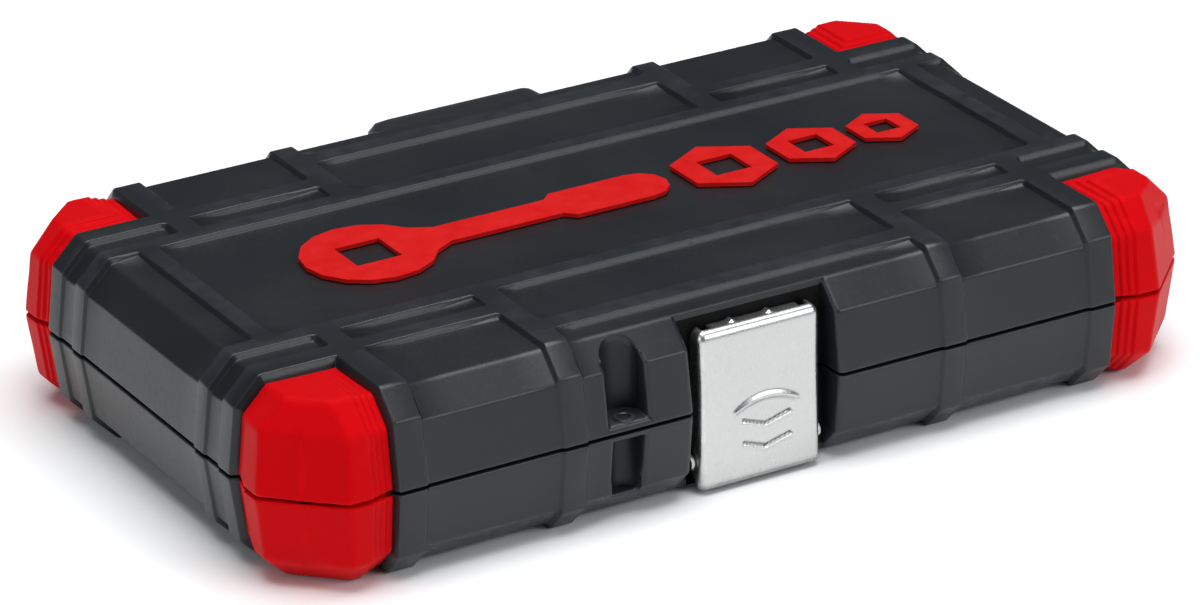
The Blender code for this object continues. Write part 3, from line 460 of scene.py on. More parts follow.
class SheetAxis:
    """The grid lines of a shell along X or Y: where each lies at band level and at panel level."""

    def __init__(self, half, clusters, low_steps, high_steps, widest=7.0):
        bands, panels = fold_lines(half, 0.0, *high_steps), fold_lines(half, 1.0, *high_steps)
        low_bands, low_panels = fold_lines(half, 0.0, *low_steps), fold_lines(half, 1.0, *low_steps)
        edge = bands[0, 0]
        flat = merged_lines(clusters, -edge, edge, widest)[1:-1]
        self.band = np.concatenate([-low_bands[::-1, 0], flat, bands[:, 0]])
        self.panel = np.concatenate([-low_panels[::-1, 0], flat, panels[:, 0]])
        flat_top = np.full(len(flat), HALF_Z)
        self.band_z = np.concatenate([low_bands[::-1, 1], flat_top, bands[:, 1]])
        self.panel_z = np.concatenate([low_panels[::-1, 1], flat_top - PANEL_DROP, panels[:, 1]])
        lengths = np.concatenate([[0.0], np.cumsum(np.linalg.norm(np.diff(bands, axis=0), axis=1))])
        low_lengths = np.concatenate([[0.0], np.cumsum(np.linalg.norm(np.diff(low_bands, axis=0), axis=1))])
        self.along = np.concatenate([-(edge + low_lengths)[::-1], flat, edge + lengths])
        normal, low_normal = path_normals(bands), path_normals(low_bands)
        upright = np.zeros(len(flat))
        for way in (normal, low_normal):
            way[way[:, 1] < 0] = (1.0, 0.0)
        self.out = np.concatenate([-low_normal[::-1, 0], upright, normal[:, 0]])
        self.up = np.concatenate([low_normal[::-1, 1], upright + 1.0, normal[:, 1]])
        is_fold = np.concatenate([np.ones(len(low_bands), bool), np.zeros(len(flat), bool), np.ones(len(bands), bool)])
        self.is_fold = is_fold


def cluster(edges, offsets):
    """Lines close to each edge and to its mirror image."""
    return [sign * edge + offset for edge in edges for sign in (1, -1) for offset in offsets]


def panel_windows():
    """(x span, y span) of every sunken panel and strip on one face of the case."""
    inner_x, outer_x = MID_BAND_X[1], END_BAND_X[0]
    windows = [((-CENTRE_PANEL[0], CENTRE_PANEL[0]), (-CENTRE_PANEL[1], CENTRE_PANEL[1]))]
    for sx in (1, -1):
        side = sorted((sx * SIDE_PANEL_X, sx * FAR))
        windows.append((side, (-CENTRE_PANEL[1], CENTRE_PANEL[1])))
        for sy in (1, -1):
            strip = sorted((sy * STRIP_Y[0], sy * STRIP_Y[1]))
            edge = sorted((sy * EDGE_PANEL_Y, sy * FAR))
            windows.append((sorted((sx * inner_x, sx * outer_x)), strip))
            windows.append((sorted((sx * END_BAND_X[1], sx * FAR)), strip))
            windows.append((sorted((sx * inner_x, sx * outer_x)), edge))
    for sy in (1, -1):
        middle = (-MID_BAND_X[0], MID_BAND_X[0])
        windows.append((middle, sorted((sy * STRIP_Y[0], sy * MIDDLE_STRIP_Y))))
        windows.append((middle, sorted((sy * LATCH_PANEL_Y, sy * FAR))))
    return windows


def inside_window(x, y, window):
    """How far a point is inside a window with rounded corners. Outside, it is negative."""
    (x0, x1), (y0, y1) = window
    across = np.minimum(x - x0, x1 - x)
    along = np.minimum(y - y0, y1 - y)
    plain = np.minimum(across, along)
    in_corner = (across < PANEL_CORNER) & (along < PANEL_CORNER)
    away = np.hypot(np.minimum(across - PANEL_CORNER, 0), np.minimum(along - PANEL_CORNER, 0))
    return np.where(in_corner, PANEL_CORNER - away, plain)


def arch_inside(x, z):
    """How far a point of the front wall is inside the lock pocket's arch."""
    x = x - LOCK_X
    round_part = LOCK_HALF_WIDTH - np.hypot(x, np.maximum(z - LOCK_ARCH_Z, 0.0))
    return np.minimum(np.where(z > LOCK_ARCH_Z, round_part, LOCK_HALF_WIDTH - abs(x)), z - LOCK_FLOOR)


def groove_inside(x, z):
    """How far a point of the base's front wall is inside the groove below the lock pocket."""
    low, high = LOCK_GROOVE_Z
    return np.minimum(GROOVE_HALF_WIDTH - abs(x - LOCK_X), np.minimum(high - z, z - low))


def scooped(x, half_width, edge_y, deepest_y):
    """A hollow's back wall, curved like the inside of a pipe."""
    across = np.clip(abs(x - LOCK_X) / half_width, 0.0, 1.0)
    return edge_y + (deepest_y - edge_y) * np.sqrt(1.0 - across**2)


def sink(y, floor_y, inside, radius):
    """Pushes the front wall back to floor_y inside an opening, with a rounded lip round it."""
    lip = edge_round(-np.minimum(inside, 0.0), radius)
    room = np.maximum(floor_y - y, 0.0)
    return y + np.where(inside > 0.02, room, np.minimum(lip, room))


STEP_OFFSETS = (-0.56, -0.42, -0.28, -0.14, 0.0, 0.14, 0.28, 0.42, 0.56)
STEP_SHAPE = (0.0, 0.04, 0.17, 0.333, 0.5, 0.667, 0.83, 0.96, 1.0)
SEAT_OFFSETS = (-0.9, -0.75, -0.62, -0.5, -0.25, 0.0, 0.06, 0.3)
SEAT_DEPTHS = (0.0, 0.03, 0.13, 0.32, 0.82, 1.32, 1.7, 2.3)


def shell_sheet(is_lid):
    """The outer skin of one half without the corners that the caps cover: (open part, deep part)."""
    step = [STEP_WIDTH * offset for offset in STEP_OFFSETS]
    seat_low = tuple(-offset for offset in SEAT_OFFSETS)
    lip = (-0.6, -0.06, 0.0, 0.1, 0.3, 0.55, 0.8, 1.1)
    lip_low = tuple(-v for v in lip)
    x_edges = (*MID_BAND_X, *END_BAND_X, CENTRE_PANEL[0], SIDE_PANEL_X)
    y_edges = (CENTRE_PANEL[1], *STRIP_Y, EDGE_PANEL_Y, MIDDLE_STRIP_Y, LATCH_PANEL_Y)
    x_groups = [
        cluster(x_edges, step),
        [SEAT_X + offset for offset in SEAT_OFFSETS],
        [-SEAT_X + offset for offset in seat_low],
        [RECESS_HALF_X + v for v in lip],
        [-RECESS_HALF_X + v for v in lip_low],
        [sign * (SWING_HALF_X + v) for sign in (-1, 1) for v in (-0.05, 0.05)],
        LOCK_X + 0.2 * np.arange(-25, 26),
    ]
    y_groups = [
        cluster(y_edges, step),
        [SEAT_Y + offset for offset in SEAT_OFFSETS],
        [-SEAT_Y + offset for offset in seat_low],
    ]
    ax = SheetAxis(HALF_X, x_groups, (4, 5), (4, 5))
    ay = SheetAxis(HALF_Y, y_groups, (20, 40), (4, 5))
    x_along, y_along = np.meshgrid(ax.along, ay.along, indexing="ij")
    sunk = np.zeros_like(x_along)
    for window in panel_windows():
        depth = inside_window(x_along, y_along, window)
        slope = np.interp(depth / STEP_WIDTH, STEP_OFFSETS, STEP_SHAPE)
        sunk = np.maximum(sunk, slope)
    x = ax.band[:, None] * (1 - sunk) + ax.panel[:, None] * sunk
    y = ay.band[None, :] * (1 - sunk) + ay.panel[None, :] * sunk
    z_band = np.minimum(ax.band_z[:, None], ay.band_z[None, :])
    z_panel = np.minimum(ax.panel_z[:, None], ay.panel_z[None, :])
    z = z_band * (1 - sunk) + z_panel * sunk

    past_seat = np.minimum(abs(x_along) - SEAT_X, abs(y_along) - SEAT_Y)
    hem = np.interp(past_seat, SEAT_OFFSETS, SEAT_DEPTHS)
    x_fold = ax.is_fold[:, None] & ~ay.is_fold[None, :]
    y_fold = ay.is_fold[None, :] & ~ax.is_fold[:, None]
    x -= hem * np.where(x_fold, ax.out[:, None], 0.0)
    y -= hem * np.where(y_fold, ay.out[None, :], 0.0)
    z -= hem * np.where(x_fold, ax.up[:, None], np.where(y_fold, ay.up[None, :], 1.0))

    is_front = y_along < 0
    is_wall = is_front & (ay.along < -HALF_Y + 6.0)[None, :]
    if is_lid:
        mouth, floor_y = arch_inside(x, z), scooped(x, LOCK_HALF_WIDTH, -54.6, LOCK_BACK_Y)
    else:
        mouth, floor_y = groove_inside(x, -z), scooped(x, GROOVE_HALF_WIDTH, -56.0, GROOVE_BACK_Y)
    if is_lid:
        nudge = np.where(is_wall & (abs(mouth) < 0.11) & (z > LOCK_FLOOR + 0.6), mouth, 0.0)
        tall = np.maximum(z - LOCK_ARCH_Z, 0.0)
        reach = np.maximum(np.hypot(x - LOCK_X, tall), 0.01)
        x = x + nudge * (x - LOCK_X) / reach
        is_bevel = z > HALF_Z - TOP_BEVEL
        y = y + nudge * tall / reach * np.where(is_bevel, 1.0, DRAFT / (HALF_Z - TOP_BEVEL))
        z = z + nudge * tall / reach
        mouth = np.where(nudge != 0.0, 0.0, mouth)
    wall_y = y
    y = np.where(is_wall, sink(y, floor_y, mouth, 0.9), y)
    recess = RECESS_HALF_X - abs(x)
    recess_y = np.full_like(y, RECESS_BACK_Y)
    if not is_lid:
        below = SWING_RADIUS**2 - (z + LATCH_PIN[1]) ** 2
        swing_y = LATCH_PIN[0] + np.sqrt(np.maximum(below, 0.0))
        has_room = (abs(x) < SWING_HALF_X) & (y_along < -HALF_Y + 6.5)
        recess_y = np.where(has_room, np.maximum(swing_y, RECESS_BACK_Y), RECESS_BACK_Y)
    y = np.where(is_front, sink(y, recess_y, recess, 1.1), y)
    # Faces pushed well back into the recess or pocket get the darker finishes, a painted shade.
    is_deep = y - wall_y > 1.15
    is_deep = is_deep[:-1, :-1] & is_deep[1:, :-1] & is_deep[:-1, 1:] & is_deep[1:, 1:]

    corner_gone = np.maximum.reduce([past_seat[:-1, :-1], past_seat[1:, :-1], past_seat[:-1, 1:], past_seat[1:, 1:]])
    kept = corner_gone < 0.31
    kept &= ~(ax.is_fold[:-1, None] & ay.is_fold[None, :-1])
    points = np.stack([x, y, z], -1).reshape(-1, 3)
    if not is_lid:
        points[:, 2] *= -1
    return [used_only(points, grid_faces(*x.shape, kept & part)) for part in (~is_deep, is_deep)]


def used_only(points, faces):
    """The faces, with only the points that they use."""
    used = np.unique(np.array(faces))
    renumber = np.zeros(len(points), int)
    renumber[used] = np.arange(len(used))
    return points[used], [tuple(renumber[list(face)]) for face in faces]


def round_corners(points, radius, steps=4):
    """The outline with each of its corners rounded."""
    rounded = []
    count = len(points)
    for i in range(count):
        before, corner, after = (np.array(points[(i + k) % count], float) for k in (-1, 0, 1))
        back, ahead = before - corner, after - corner
        cut = min(radius, np.linalg.norm(back) * 0.45, np.linalg.norm(ahead) * 0.45)
        arrive = corner + back / np.linalg.norm(back) * cut
        leave = corner + ahead / np.linalg.norm(ahead) * cut
        for k in range(steps + 1):
            t = k / steps
            rounded.append((1 - t) ** 2 * arrive + 2 * t * (1 - t) * corner + t * t * leave)
    return np.array(rounded)


def case_outline(half_x, half_y, chamfer, notch, radius=2.0):
    """The case's plan as an octagon, with a notch through these points cut in at the front."""
    points = [
        (notch[0][0], -half_y), *notch, (notch[-1][0], -half_y),
        (half_x - chamfer, -half_y), (half_x, -half_y + chamfer),
        (half_x, half_y - chamfer), (half_x - chamfer, half_y),
        (-half_x + chamfer, half_y), (-half_x, half_y - chamfer),
        (-half_x, -half_y + chamfer), (-half_x + chamfer, -half_y),
    ]
    return round_corners(points, radius)


def stack(outlines):
    """Points and quads that join outlines of equal length, given as (outline, z) pairs."""
    points = np.concatenate([np.column_stack([line, np.full(len(line), z)]) for line, z in outlines])
    count = len(outlines[0][0])
    faces = grid_faces(len(outlines), count, is_closed=True)
    return points, faces, count


def lining(is_lid):
    """The hollow inside a half, with its parting face and the step that seals against the other."""

    def hollow(spread, inner=0.0):
        x, y = CAVITY[0] + spread - inner, CAVITY[1] + spread - inner
        low, high, back = -34.0 - spread, 17.0 + spread, -49.2 - spread + inner
        notch = [(low, back), (high, back)]
        if not is_lid:
            far = max(back, -44.4 + 0.1 * inner)
            notch = [(low, back), (-17.0 - spread, back), (-17.0 - spread, far), (high, far)]
        return case_outline(x, y, CAVITY_CHAMFER, notch)

    back = RECESS_BACK_Y + 0.02
    notch = [(-RECESS_HALF_X, back), (RECESS_HALF_X, back)]
    if not is_lid:
        notch[1:1] = [(-RECESS_HALF_X + 1.0, back), (-RECESS_HALF_X + 1.0, back + 0.05)]
        notch[-1] = (RECESS_HALF_X, back + 0.05)
    outer = case_outline(HALF_X - 1.5, HALF_Y - 1.5, CORNER_CHAMFER, notch, 1.2)
    deep = CAVITY[2]
    slope = DRAFT
    if is_lid:
        steps = [(outer, 0.32), (hollow(1.75), 0.32), (hollow(1.7), 0.6), (hollow(1.7), 1.5), (hollow(0.3), 1.5),
                 (hollow(0.05), 1.7)]
    else:
        steps = [(outer, 0.32), (hollow(1.55), 0.32), (hollow(1.5), -0.8), (hollow(1.35), -1.1), (hollow(1.1), -1.2),
                 (hollow(0.7), -1.2), (hollow(0.5), -1.1), (hollow(0.4), -0.8), (hollow(0.4), 0.2), (hollow(0.1), 0.5)]
    steps += [
        (hollow(-slope * 0.4), deep * 0.4),
        (hollow(-slope, 0.0), deep - CAVITY_BEVEL),
        (hollow(-slope, 0.9), deep - 1.0),
        (hollow(-slope, CAVITY_BEVEL), deep),
        (hollow(-slope, 8.0), deep),
    ]
    points, faces, count = stack(steps)
    faces.append(tuple(range(len(points) - count, len(points))))
    if not is_lid:
        points[:, 2] *= -1
    return points, faces


def case_half(is_lid):
    name, body, node = ("lid", "lid", "lid_shell") if is_lid else ("base", "base", "base_shell")
    (points, faces), (deep_points, deep_faces) = shell_sheet(is_lid)
    add_piece(f"{name}_outer_shell", points, faces, BLACK, body, (node,), 55.0, True)
    is_pocket = [deep_points[list(face), 0].mean() < LOCK_X + 8.0 for face in deep_faces]
    # Recess and pocket walls take the darker copies of the case black: painted shade.
    for label, finish, wanted in (("recess_walls", RECESS_SHADE_BLACK, False), ("pocket_walls", POCKET_SHADE_BLACK, True)):
        part = [face for face, inside in zip(deep_faces, is_pocket) if inside == wanted]
        points, faces = used_only(deep_points, part)
        add_piece(f"{name}_{label}", points, faces, finish, body, (), 55.0, "front")
    points, faces = lining(is_lid)
    add_piece(f"{name}_inner_shell", points, faces, BLACK, body, (), 35.0, False)


# ---------------------------------------------------------------- corner caps

TERRACES = ((1.5, 0.42), (2.9, 0.46), (4.3, 0.48))


def terrace_depth(distance):
    """The cap's surface drops in three narrow steps towards its border with the black shell."""
    depth = np.zeros_like(distance)
    for edge, drop in TERRACES:
        depth += drop * (1.0 - smooth_step(edge - 0.28, edge + 0.28, distance))
    return depth


def cap_reach(origin, direction, is_lid):
    """How far it is from origin to the cap's faces in a direction, with the creases rounded."""
    top = HALF_Z - CAP_TOP_DROP
    lean = DRAFT / (HALF_Z - TOP_BEVEL)
    diagonal = math.sqrt(0.5)
    wall_x, wall_y = HALF_X, HALF_Y
    corner = HALF_X + HALF_Y - CORNER_CHAMFER
    bevel_z = top - TOP_BEVEL
    planes = [
        ((1.0, 0.0, lean), wall_x),
        ((0.0, 1.0, lean), wall_y),
        ((diagonal, diagonal, lean * 1.1), corner * diagonal),
        ((0.0, 0.0, 1.0), top),
        ((1.0, 0.0, 1.0), wall_x - DRAFT + bevel_z),
        ((0.0, 1.0, 1.0), wall_y - DRAFT + bevel_z),
        ((diagonal, diagonal, 0.6), corner * diagonal + 5.45)
        if is_lid
        else ((diagonal, diagonal, 1.0), (corner - 2 * DRAFT) * diagonal + bevel_z + 0.6),
    ]
    total = 0.0
    sharpness = 11.0
    for normal, level in planes:
        normal = np.array(normal)
        size = np.linalg.norm(normal)
        facing = direction @ normal / size
        gap = (level - origin @ normal) / size
        reach = np.where(facing > 0.02, gap / np.maximum(facing, 0.02), 400.0)
        total = total + np.exp(-sharpness * np.minimum(reach, 120.0))
    return -np.log(total) / sharpness


def corner_cap(is_lid, side, end):
    """One cap, as nested ribbons that run from wall to wall over the top, each a little smaller."""
    lean = [0.0, 0.08, 0.2, 0.5]
    for edge, _ in TERRACES:
        lean += [edge - 0.45, edge - 0.28, edge - 0.14, edge, edge + 0.14, edge + 0.28, edge + 0.45]
    last = (HALF_X + HALF_Y - CORNER_CHAMFER - CAP_X - CAP_Y) / 2 - 0.25
    lean += list(np.linspace(5.6, last, 20))
    angles = np.concatenate([[0.0], np.linspace(0.02, math.pi / 2, 52)])
    rows = []
    for distance in lean:
        start = np.array((CAP_X + distance, CAP_Y + distance, PARTING_GAP))
        row = []
        for along in ((0, 1), (1, 0)):
            slopes = angles if along == (0, 1) else angles[::-1][1:]
            ways = np.column_stack([
                np.cos(slopes) * along[0], np.cos(slopes) * along[1], np.sin(slopes)
            ])
            reach = cap_reach(start, ways, is_lid)
            height = reach * ways[:, 2]
            fall = terrace_depth(np.full(len(ways), distance)) + edge_round(distance, 0.3)
            fall = fall + edge_round(height, 0.5)
            row.append(start + ways * (reach - fall)[:, None])
        rows.append(np.concatenate(row))
    border = rows[0].copy()
    middle = np.array((CAP_X, CAP_Y, PARTING_GAP))
    inward = middle - border
    inward /= np.maximum(np.linalg.norm(inward, axis=1), 1e-6)[:, None]
    rows.insert(0, border + inward * 1.6)
    columns = len(rows[0])
    points = np.array(rows)
    hem_low, hem_high = points[:, :1].copy(), points[:, -1:].copy()
    hem_low[:, :, 1] -= 1.6
    hem_high[:, :, 0] -= 1.6
    points = np.concatenate([hem_low, points, hem_high], axis=1)
    columns += 2
    faces = grid_faces(len(rows), columns)
    last_row = (len(rows) - 1) * columns
    for k in range(columns // 2):
        a, b, across = last_row + k, last_row + k + 1, last_row + columns - 1 - k
        faces.append((a, b, across - 1, across) if b != across - 1 else (a, b, across))
    points = points.reshape(-1, 3)
    points *= np.array((side, end, 1 if is_lid else -1))
    half = "lid" if is_lid else "base"
    where = ("front" if end < 0 else "rear") + ("_left" if side < 0 else "_right")
    node = f"{half}_cap_{where}"
    add_piece(f"{half}_corner_cap_{where}", points, faces, RED, half, (node,), 50.0, True)


# ---------------------------------------------------------------- latch

LATCH_HALF_X = 12.4
LATCH_FACE_Y = -55.2
LATCH_FOLD = 1.5
LATCH_TOP_FOLD = 2.1
LATCH_BOTTOM = -16.4
LATCH_TOP = 13.6
HOOK_Y = -51.45
HOOK_BOTTOM = 11.5
FLANGE_HALF_X = 9.0
PRESS_X = 1.1


def line_distance(x, z, points):
    """Distance to a run of straight lines."""
    best = np.full(x.shape, 1e9)
    for (x0, z0), (x1, z1) in zip(points, points[1:]):
        length = (x1 - x0) ** 2 + (z1 - z0) ** 2
        t = np.clip(((x - x0) * (x1 - x0) + (z - z0) * (z1 - z0)) / length, 0, 1)
        best = np.minimum(best, np.hypot(x - x0 - t * (x1 - x0), z - z0 - t * (z1 - z0)))
    return best


def latch_relief(x, z):
    """The pressed finger pad: an arched bead over a faint hollow with two arrows pointing down."""
    across = (x - PRESS_X) / 6.6
    arch = [(PRESS_X + 6.6 * t, -1.1 - 2.0 * t * t) for t in np.linspace(-1.0, 1.0, 15)]
    taper = 0.45 + 0.55 * np.sqrt(np.clip(1.0 - across**2, 0.0, 1.0))
    bead = 0.55 * taper * np.exp(-((line_distance(x, z, arch) / (0.62 * taper)) ** 2))
    drop = (-1.1 - 2.0 * across**2) - z
    width = 1.0 - smooth_step(5.9, 7.3, abs(x - PRESS_X))
    hollow = -0.16 * width * smooth_step(0.0, 1.2, drop) * (1.0 - smooth_step(2.0, 8.0, drop))
    arrows = np.zeros_like(x)
    for top in (-5.0, -9.3):
        arrow = [(PRESS_X - 4.6, top), (PRESS_X - 0.2, top - 1.5), (PRESS_X + 4.9, top - 0.2)]
        arrows -= 0.42 * np.exp(-((line_distance(x, z, arrow) / 0.30) ** 2))
        ridge = [(px, pz - 0.62) for px, pz in arrow]
        arrows += 0.16 * np.exp(-((line_distance(x, z, ridge) / 0.34) ** 2))
    return bead + hollow + arrows


def latch_piece():
    """The pressed steel flap: a flat face folded back at both sides and over the top."""
    fold, top_fold = LATCH_FOLD, LATCH_TOP_FOLD
    core_x, core_z = LATCH_HALF_X - fold, LATCH_TOP - top_fold
    flat_x = merged_lines([np.arange(-7.4, 9.6, 0.25), [-FLANGE_HALF_X, FLANGE_HALF_X]], -core_x, core_x, 1.6)
    turn = np.linspace(0, math.pi / 2, 8)[1:]
    wing = np.linspace(0.0, 1.9, 5)[1:]
    side = len(turn) + len(wing)
    x_flat = np.concatenate([np.full(side, -core_x), flat_x, np.full(side, core_x)])
    side_turn = np.concatenate([turn, np.full(len(wing), math.pi / 2)])
    x_turn = np.concatenate([-side_turn[::-1], np.zeros(len(flat_x)), side_turn])
    side_back = np.concatenate([np.zeros(len(turn)), wing])
    x_back = np.concatenate([side_back[::-1], np.zeros(len(flat_x)), side_back])
    flat_z = merged_lines([np.arange(-13.5, 0.6, 0.25)], LATCH_BOTTOM, core_z, 1.6)
    depth = HOOK_Y - (LATCH_FACE_Y + fold)
    roof = rounded_path([(0.0, 0.0), (depth, 0.0), (depth, HOOK_BOTTOM - LATCH_TOP)], (0.5,), (9, 2), (4,))[1:]
    z_flat = np.concatenate([flat_z, np.full(len(turn) + len(roof), core_z)])
    z_turn = np.concatenate([np.zeros(len(flat_z)), turn, np.full(len(roof), math.pi / 2)])
    z_back = np.concatenate([np.zeros(len(flat_z) + len(turn)), roof[:, 0]])
    z_drop = np.concatenate([np.zeros(len(flat_z) + len(turn)), roof[:, 1]])
    a, b = x_turn[:, None], z_turn[None, :]
    normal = np.stack(np.broadcast_arrays(np.sin(a) * np.cos(b), -np.cos(a) * np.cos(b), np.sin(b)), -1)
    x = x_flat[:, None] + fold * normal[..., 0]
    y = LATCH_FACE_Y + fold + fold * normal[..., 1] + x_back[:, None] + z_back[None, :]
    z = z_flat[None, :] + top_fold * normal[..., 2] + z_drop[None, :]
    relief = np.where((a == 0) & (b == 0), latch_relief(x, z), 0.0)
    ribs = sum(0.45 * np.exp(-(((x - rib) / 0.55) ** 2)) for rib in (-4.5, 3.1))
    ribs = ribs * smooth_step(0.15, 0.5, z_back)[None, :] * (z_drop[None, :] > -0.4)
    y = y - relief
    z = z + ribs
    shoulder = np.where((x_back[:, None] > 0) & (z < -13.9), x_back[:, None] * 1.1, 0.0)
    z = z + shoulder
    rows, columns = x.shape
    roof_column = np.maximum(z_back[:-1], z_back[1:])
    is_side = (abs(x_turn[:-1]) > 0) | (abs(x_turn[1:]) > 0)
    past_flange = np.maximum(abs(x_flat[:-1]), abs(x_flat[1:])) > FLANGE_HALF_X + 0.01
    kept = ~((roof_column > 0)[None, :] & is_side[:, None])
    kept &= ~((roof_column > 0.3)[None, :] & past_flange[:, None])
    points = np.stack([x, y, z], -1).reshape(-1, 3)
    flap = add_piece(
        "latch_pressed_flap", points, grid_faces(rows, columns, kept), LATCH_STEEL, "latch",
        ("latch_flap",), 60.0, True,
    )
    wall = flap.modifiers.new("Sheet", "SOLIDIFY")
    wall.thickness = 0.7 * MM
    wall.offset = -1.0
    return flap


# ---------------------------------------------------------------- turned and lofted parts


def circle(radius, count=RING_POINTS):
    return [(radius * math.cos(t), radius * math.sin(t)) for t in np.linspace(0, 2 * math.pi, count, endpoint=False)]


def polygon(across_flats, sides, corner=1.0, count=RING_POINTS):
    """A regular polygon with slightly rounded corners, its points at the same angles as circle's."""
    phase = math.pi / 4 if sides == 4 else math.pi / 2
    farthest = across_flats / 2 / math.cos(math.pi / sides) * corner
    points = []
    for t in np.linspace(0, 2 * math.pi, count, endpoint=False):
        turn = (t - phase + math.pi / sides) % (2 * math.pi / sides) - math.pi / sides
        flat = across_flats / 2 / math.cos(math.pi / sides - abs(turn))
        radius = min(flat, farthest)
        points.append((radius * math.cos(t), radius * math.sin(t)))
    return points


def lobed(radius, lobes, depth, count=RING_POINTS):
    """A round outline with shallow flutes."""
    return [
        ((radius - depth * (0.5 + 0.5 * math.cos(lobes * t)) ** 3) * math.cos(t),
         (radius - depth * (0.5 + 0.5 * math.cos(lobes * t)) ** 3) * math.sin(t))
        for t in np.linspace(0, 2 * math.pi, count, endpoint=False)
    ]


def loft(name, sections, place, axis, finish, body, stands_for=(), sharp=27.0):
    """A closed piece through outlines of equal length, given as (outline, distance along axis)."""
    count = len(sections[0][0])
    points, faces = [], grid_faces(len(sections), count, is_closed=True)
    for outline, along in sections:
        for u, v in outline:
            points.append((along, u, v) if axis == "X" else (u, v, along))
    faces.append(tuple(range(count)))
    faces.append(tuple(range(len(points) - count, len(points))))
    points = np.array(points) + np.array(place)
    return add_piece(name, points, faces, finish, body, stands_for, sharp)


def in_case(node):
    """A frame node's box, in case millimetres: (low, high)."""
    low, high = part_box(node)
    return [np.array((corner - CASE_PLACE) / MM) for corner in (low, high)]


SQUARE = 6.35
SOCKET_SIZES = (4, 5, 5.5, 6, 7, 8, 9, 10, 11, 12, 13, 14)


def socket_piece(size):
    node = f"socket_{size}mm".replace(".", "_")
    low, high = in_case(node)
    middle = (low + high) / 2
    radius = (high[1] - low[1]) / 2
    tall = high[2] - low[2]
    hex_corner = size / math.sqrt(3)
    nose = max(hex_corner + 1.1, min(radius, size * 0.66 + 0.9))
    shoulder = tall * 0.52
    sections = [
        (polygon(SQUARE, 4), 8.4), (polygon(SQUARE, 4), 0.8), (polygon(SQUARE + 0.8, 4), 0.25),
        (circle(SQUARE * 0.66), 0.0), (circle(radius - 0.7), 0.0), (circle(radius - 0.2), 0.2),
        (circle(radius), 0.7), (circle(radius), 3.2), (circle(radius - 0.25), 3.45),
        (circle(radius - 0.25), 4.2), (circle(radius), 4.45), (circle(radius), 5.2),
        (circle(radius - 0.25), 5.45), (circle(radius - 0.25), 6.2), (circle(radius), 6.45),
    ]
    if nose < radius - 0.4:
        sections += [
            (circle(radius), shoulder - 0.6), (circle(radius - 0.15), shoulder),
            (circle(nose + 0.15), shoulder + 1.8), (circle(nose), shoulder + 2.5),
        ]
    sections += [
        (circle(nose), tall - 0.8), (circle(nose - 0.15), tall - 0.3), (circle(nose - 0.55), tall),
        (circle(min(nose - 0.6, hex_corner + 0.45)), tall), (polygon(size, 6), tall - 0.7),
        (polygon(size, 6), tall - 11.6), (circle(size * 0.3), tall - 12.4),
    ]
    place = (middle[0], middle[1], low[2])
    loft(f"socket_body_{node[7:]}", sections, place, "Z", CHROME, "base", (node,))


def bar_piece(name, node):
    """An extension bar: a square hole at its left end, a slim shank, and the drive square."""
    low, high = in_case(node)
    radius = (high[1] - low[1]) / 2
    long = high[0] - low[0]
    shank = 4.0
    sections = [
        (polygon(SQUARE, 4), 8.4), (polygon(SQUARE, 4), 0.7), (circle(SQUARE * 0.62), 0.0),
        (circle(radius - 0.6), 0.0), (circle(radius), 0.6), (circle(radius), 3.0),
        (circle(radius - 0.3), 3.3), (circle(radius - 0.3), 4.3), (circle(radius), 4.6),
        (circle(radius), 13.0), (circle(radius - 0.4), 13.6), (circle(shank + 0.3), 15.6),
        (circle(shank), 16.4), (circle(shank), long - 9.6), (circle(shank - 0.1), long - 8.6),
        (polygon(SQUARE, 4), long - 7.4), (polygon(SQUARE, 4), long - 0.7),
        (polygon(SQUARE - 1.0, 4), long),
    ]
    place = (low[0], (low[1] + high[1]) / 2, (low[2] + high[2]) / 2)
    loft(name, sections, place, "X", CHROME, "base", (node,))


def adaptor_piece():
    low, high = in_case("bit_adaptor")
    radius = (high[1] - low[1]) / 2
    long = high[0] - low[0]
    sections = [
        (circle(2.2), 11.6), (polygon(SQUARE, 6), 10.8), (polygon(SQUARE, 6), 0.6),
        (circle(4.2), 0.0), (circle(4.5), 0.0), (circle(5.0), 0.5), (circle(5.0), 2.2),
        (circle(4.7), 2.5), (circle(4.7), 3.4), (circle(5.0), 3.7), (circle(5.0), 12.0),
        (circle(radius), 13.0), (circle(radius), long - 0.5), (circle(radius - 0.5), long),
        (circle(SQUARE * 0.62), long), (polygon(SQUARE, 4), long - 0.7), (polygon(SQUARE, 4), long - 8.2),
    ]
    place = (low[0], (low[1] + high[1]) / 2, (low[2] + high[2]) / 2)
    loft("bit_adaptor_body", sections, place, "X", CHROME, "base", ("bit_adaptor",))


def bit_outline(kind, radius):
    """The cross-section of a bit's tip: a blade, a cross, a hexagon or a six-lobed star."""
    points = []
    for t in np.linspace(0, 2 * math.pi, RING_POINTS, endpoint=False):
        if kind == "slot":
            reach = min(radius / max(abs(math.cos(t)), 0.01), 0.55 / max(abs(math.sin(t)), 0.01), radius)
        elif kind == "cross":
            reach = radius * (0.42 + 0.58 * abs(math.cos(2 * t)) ** 2.5)
        elif kind == "star":
            reach = radius * (0.82 + 0.18 * math.cos(6 * t))
        else:
            turn = (t + math.pi / 6) % (math.pi / 3) - math.pi / 6
            reach = radius * math.cos(math.pi / 6) / math.cos(turn)
        points.append((reach * math.cos(t), reach * math.sin(t)))
    return points


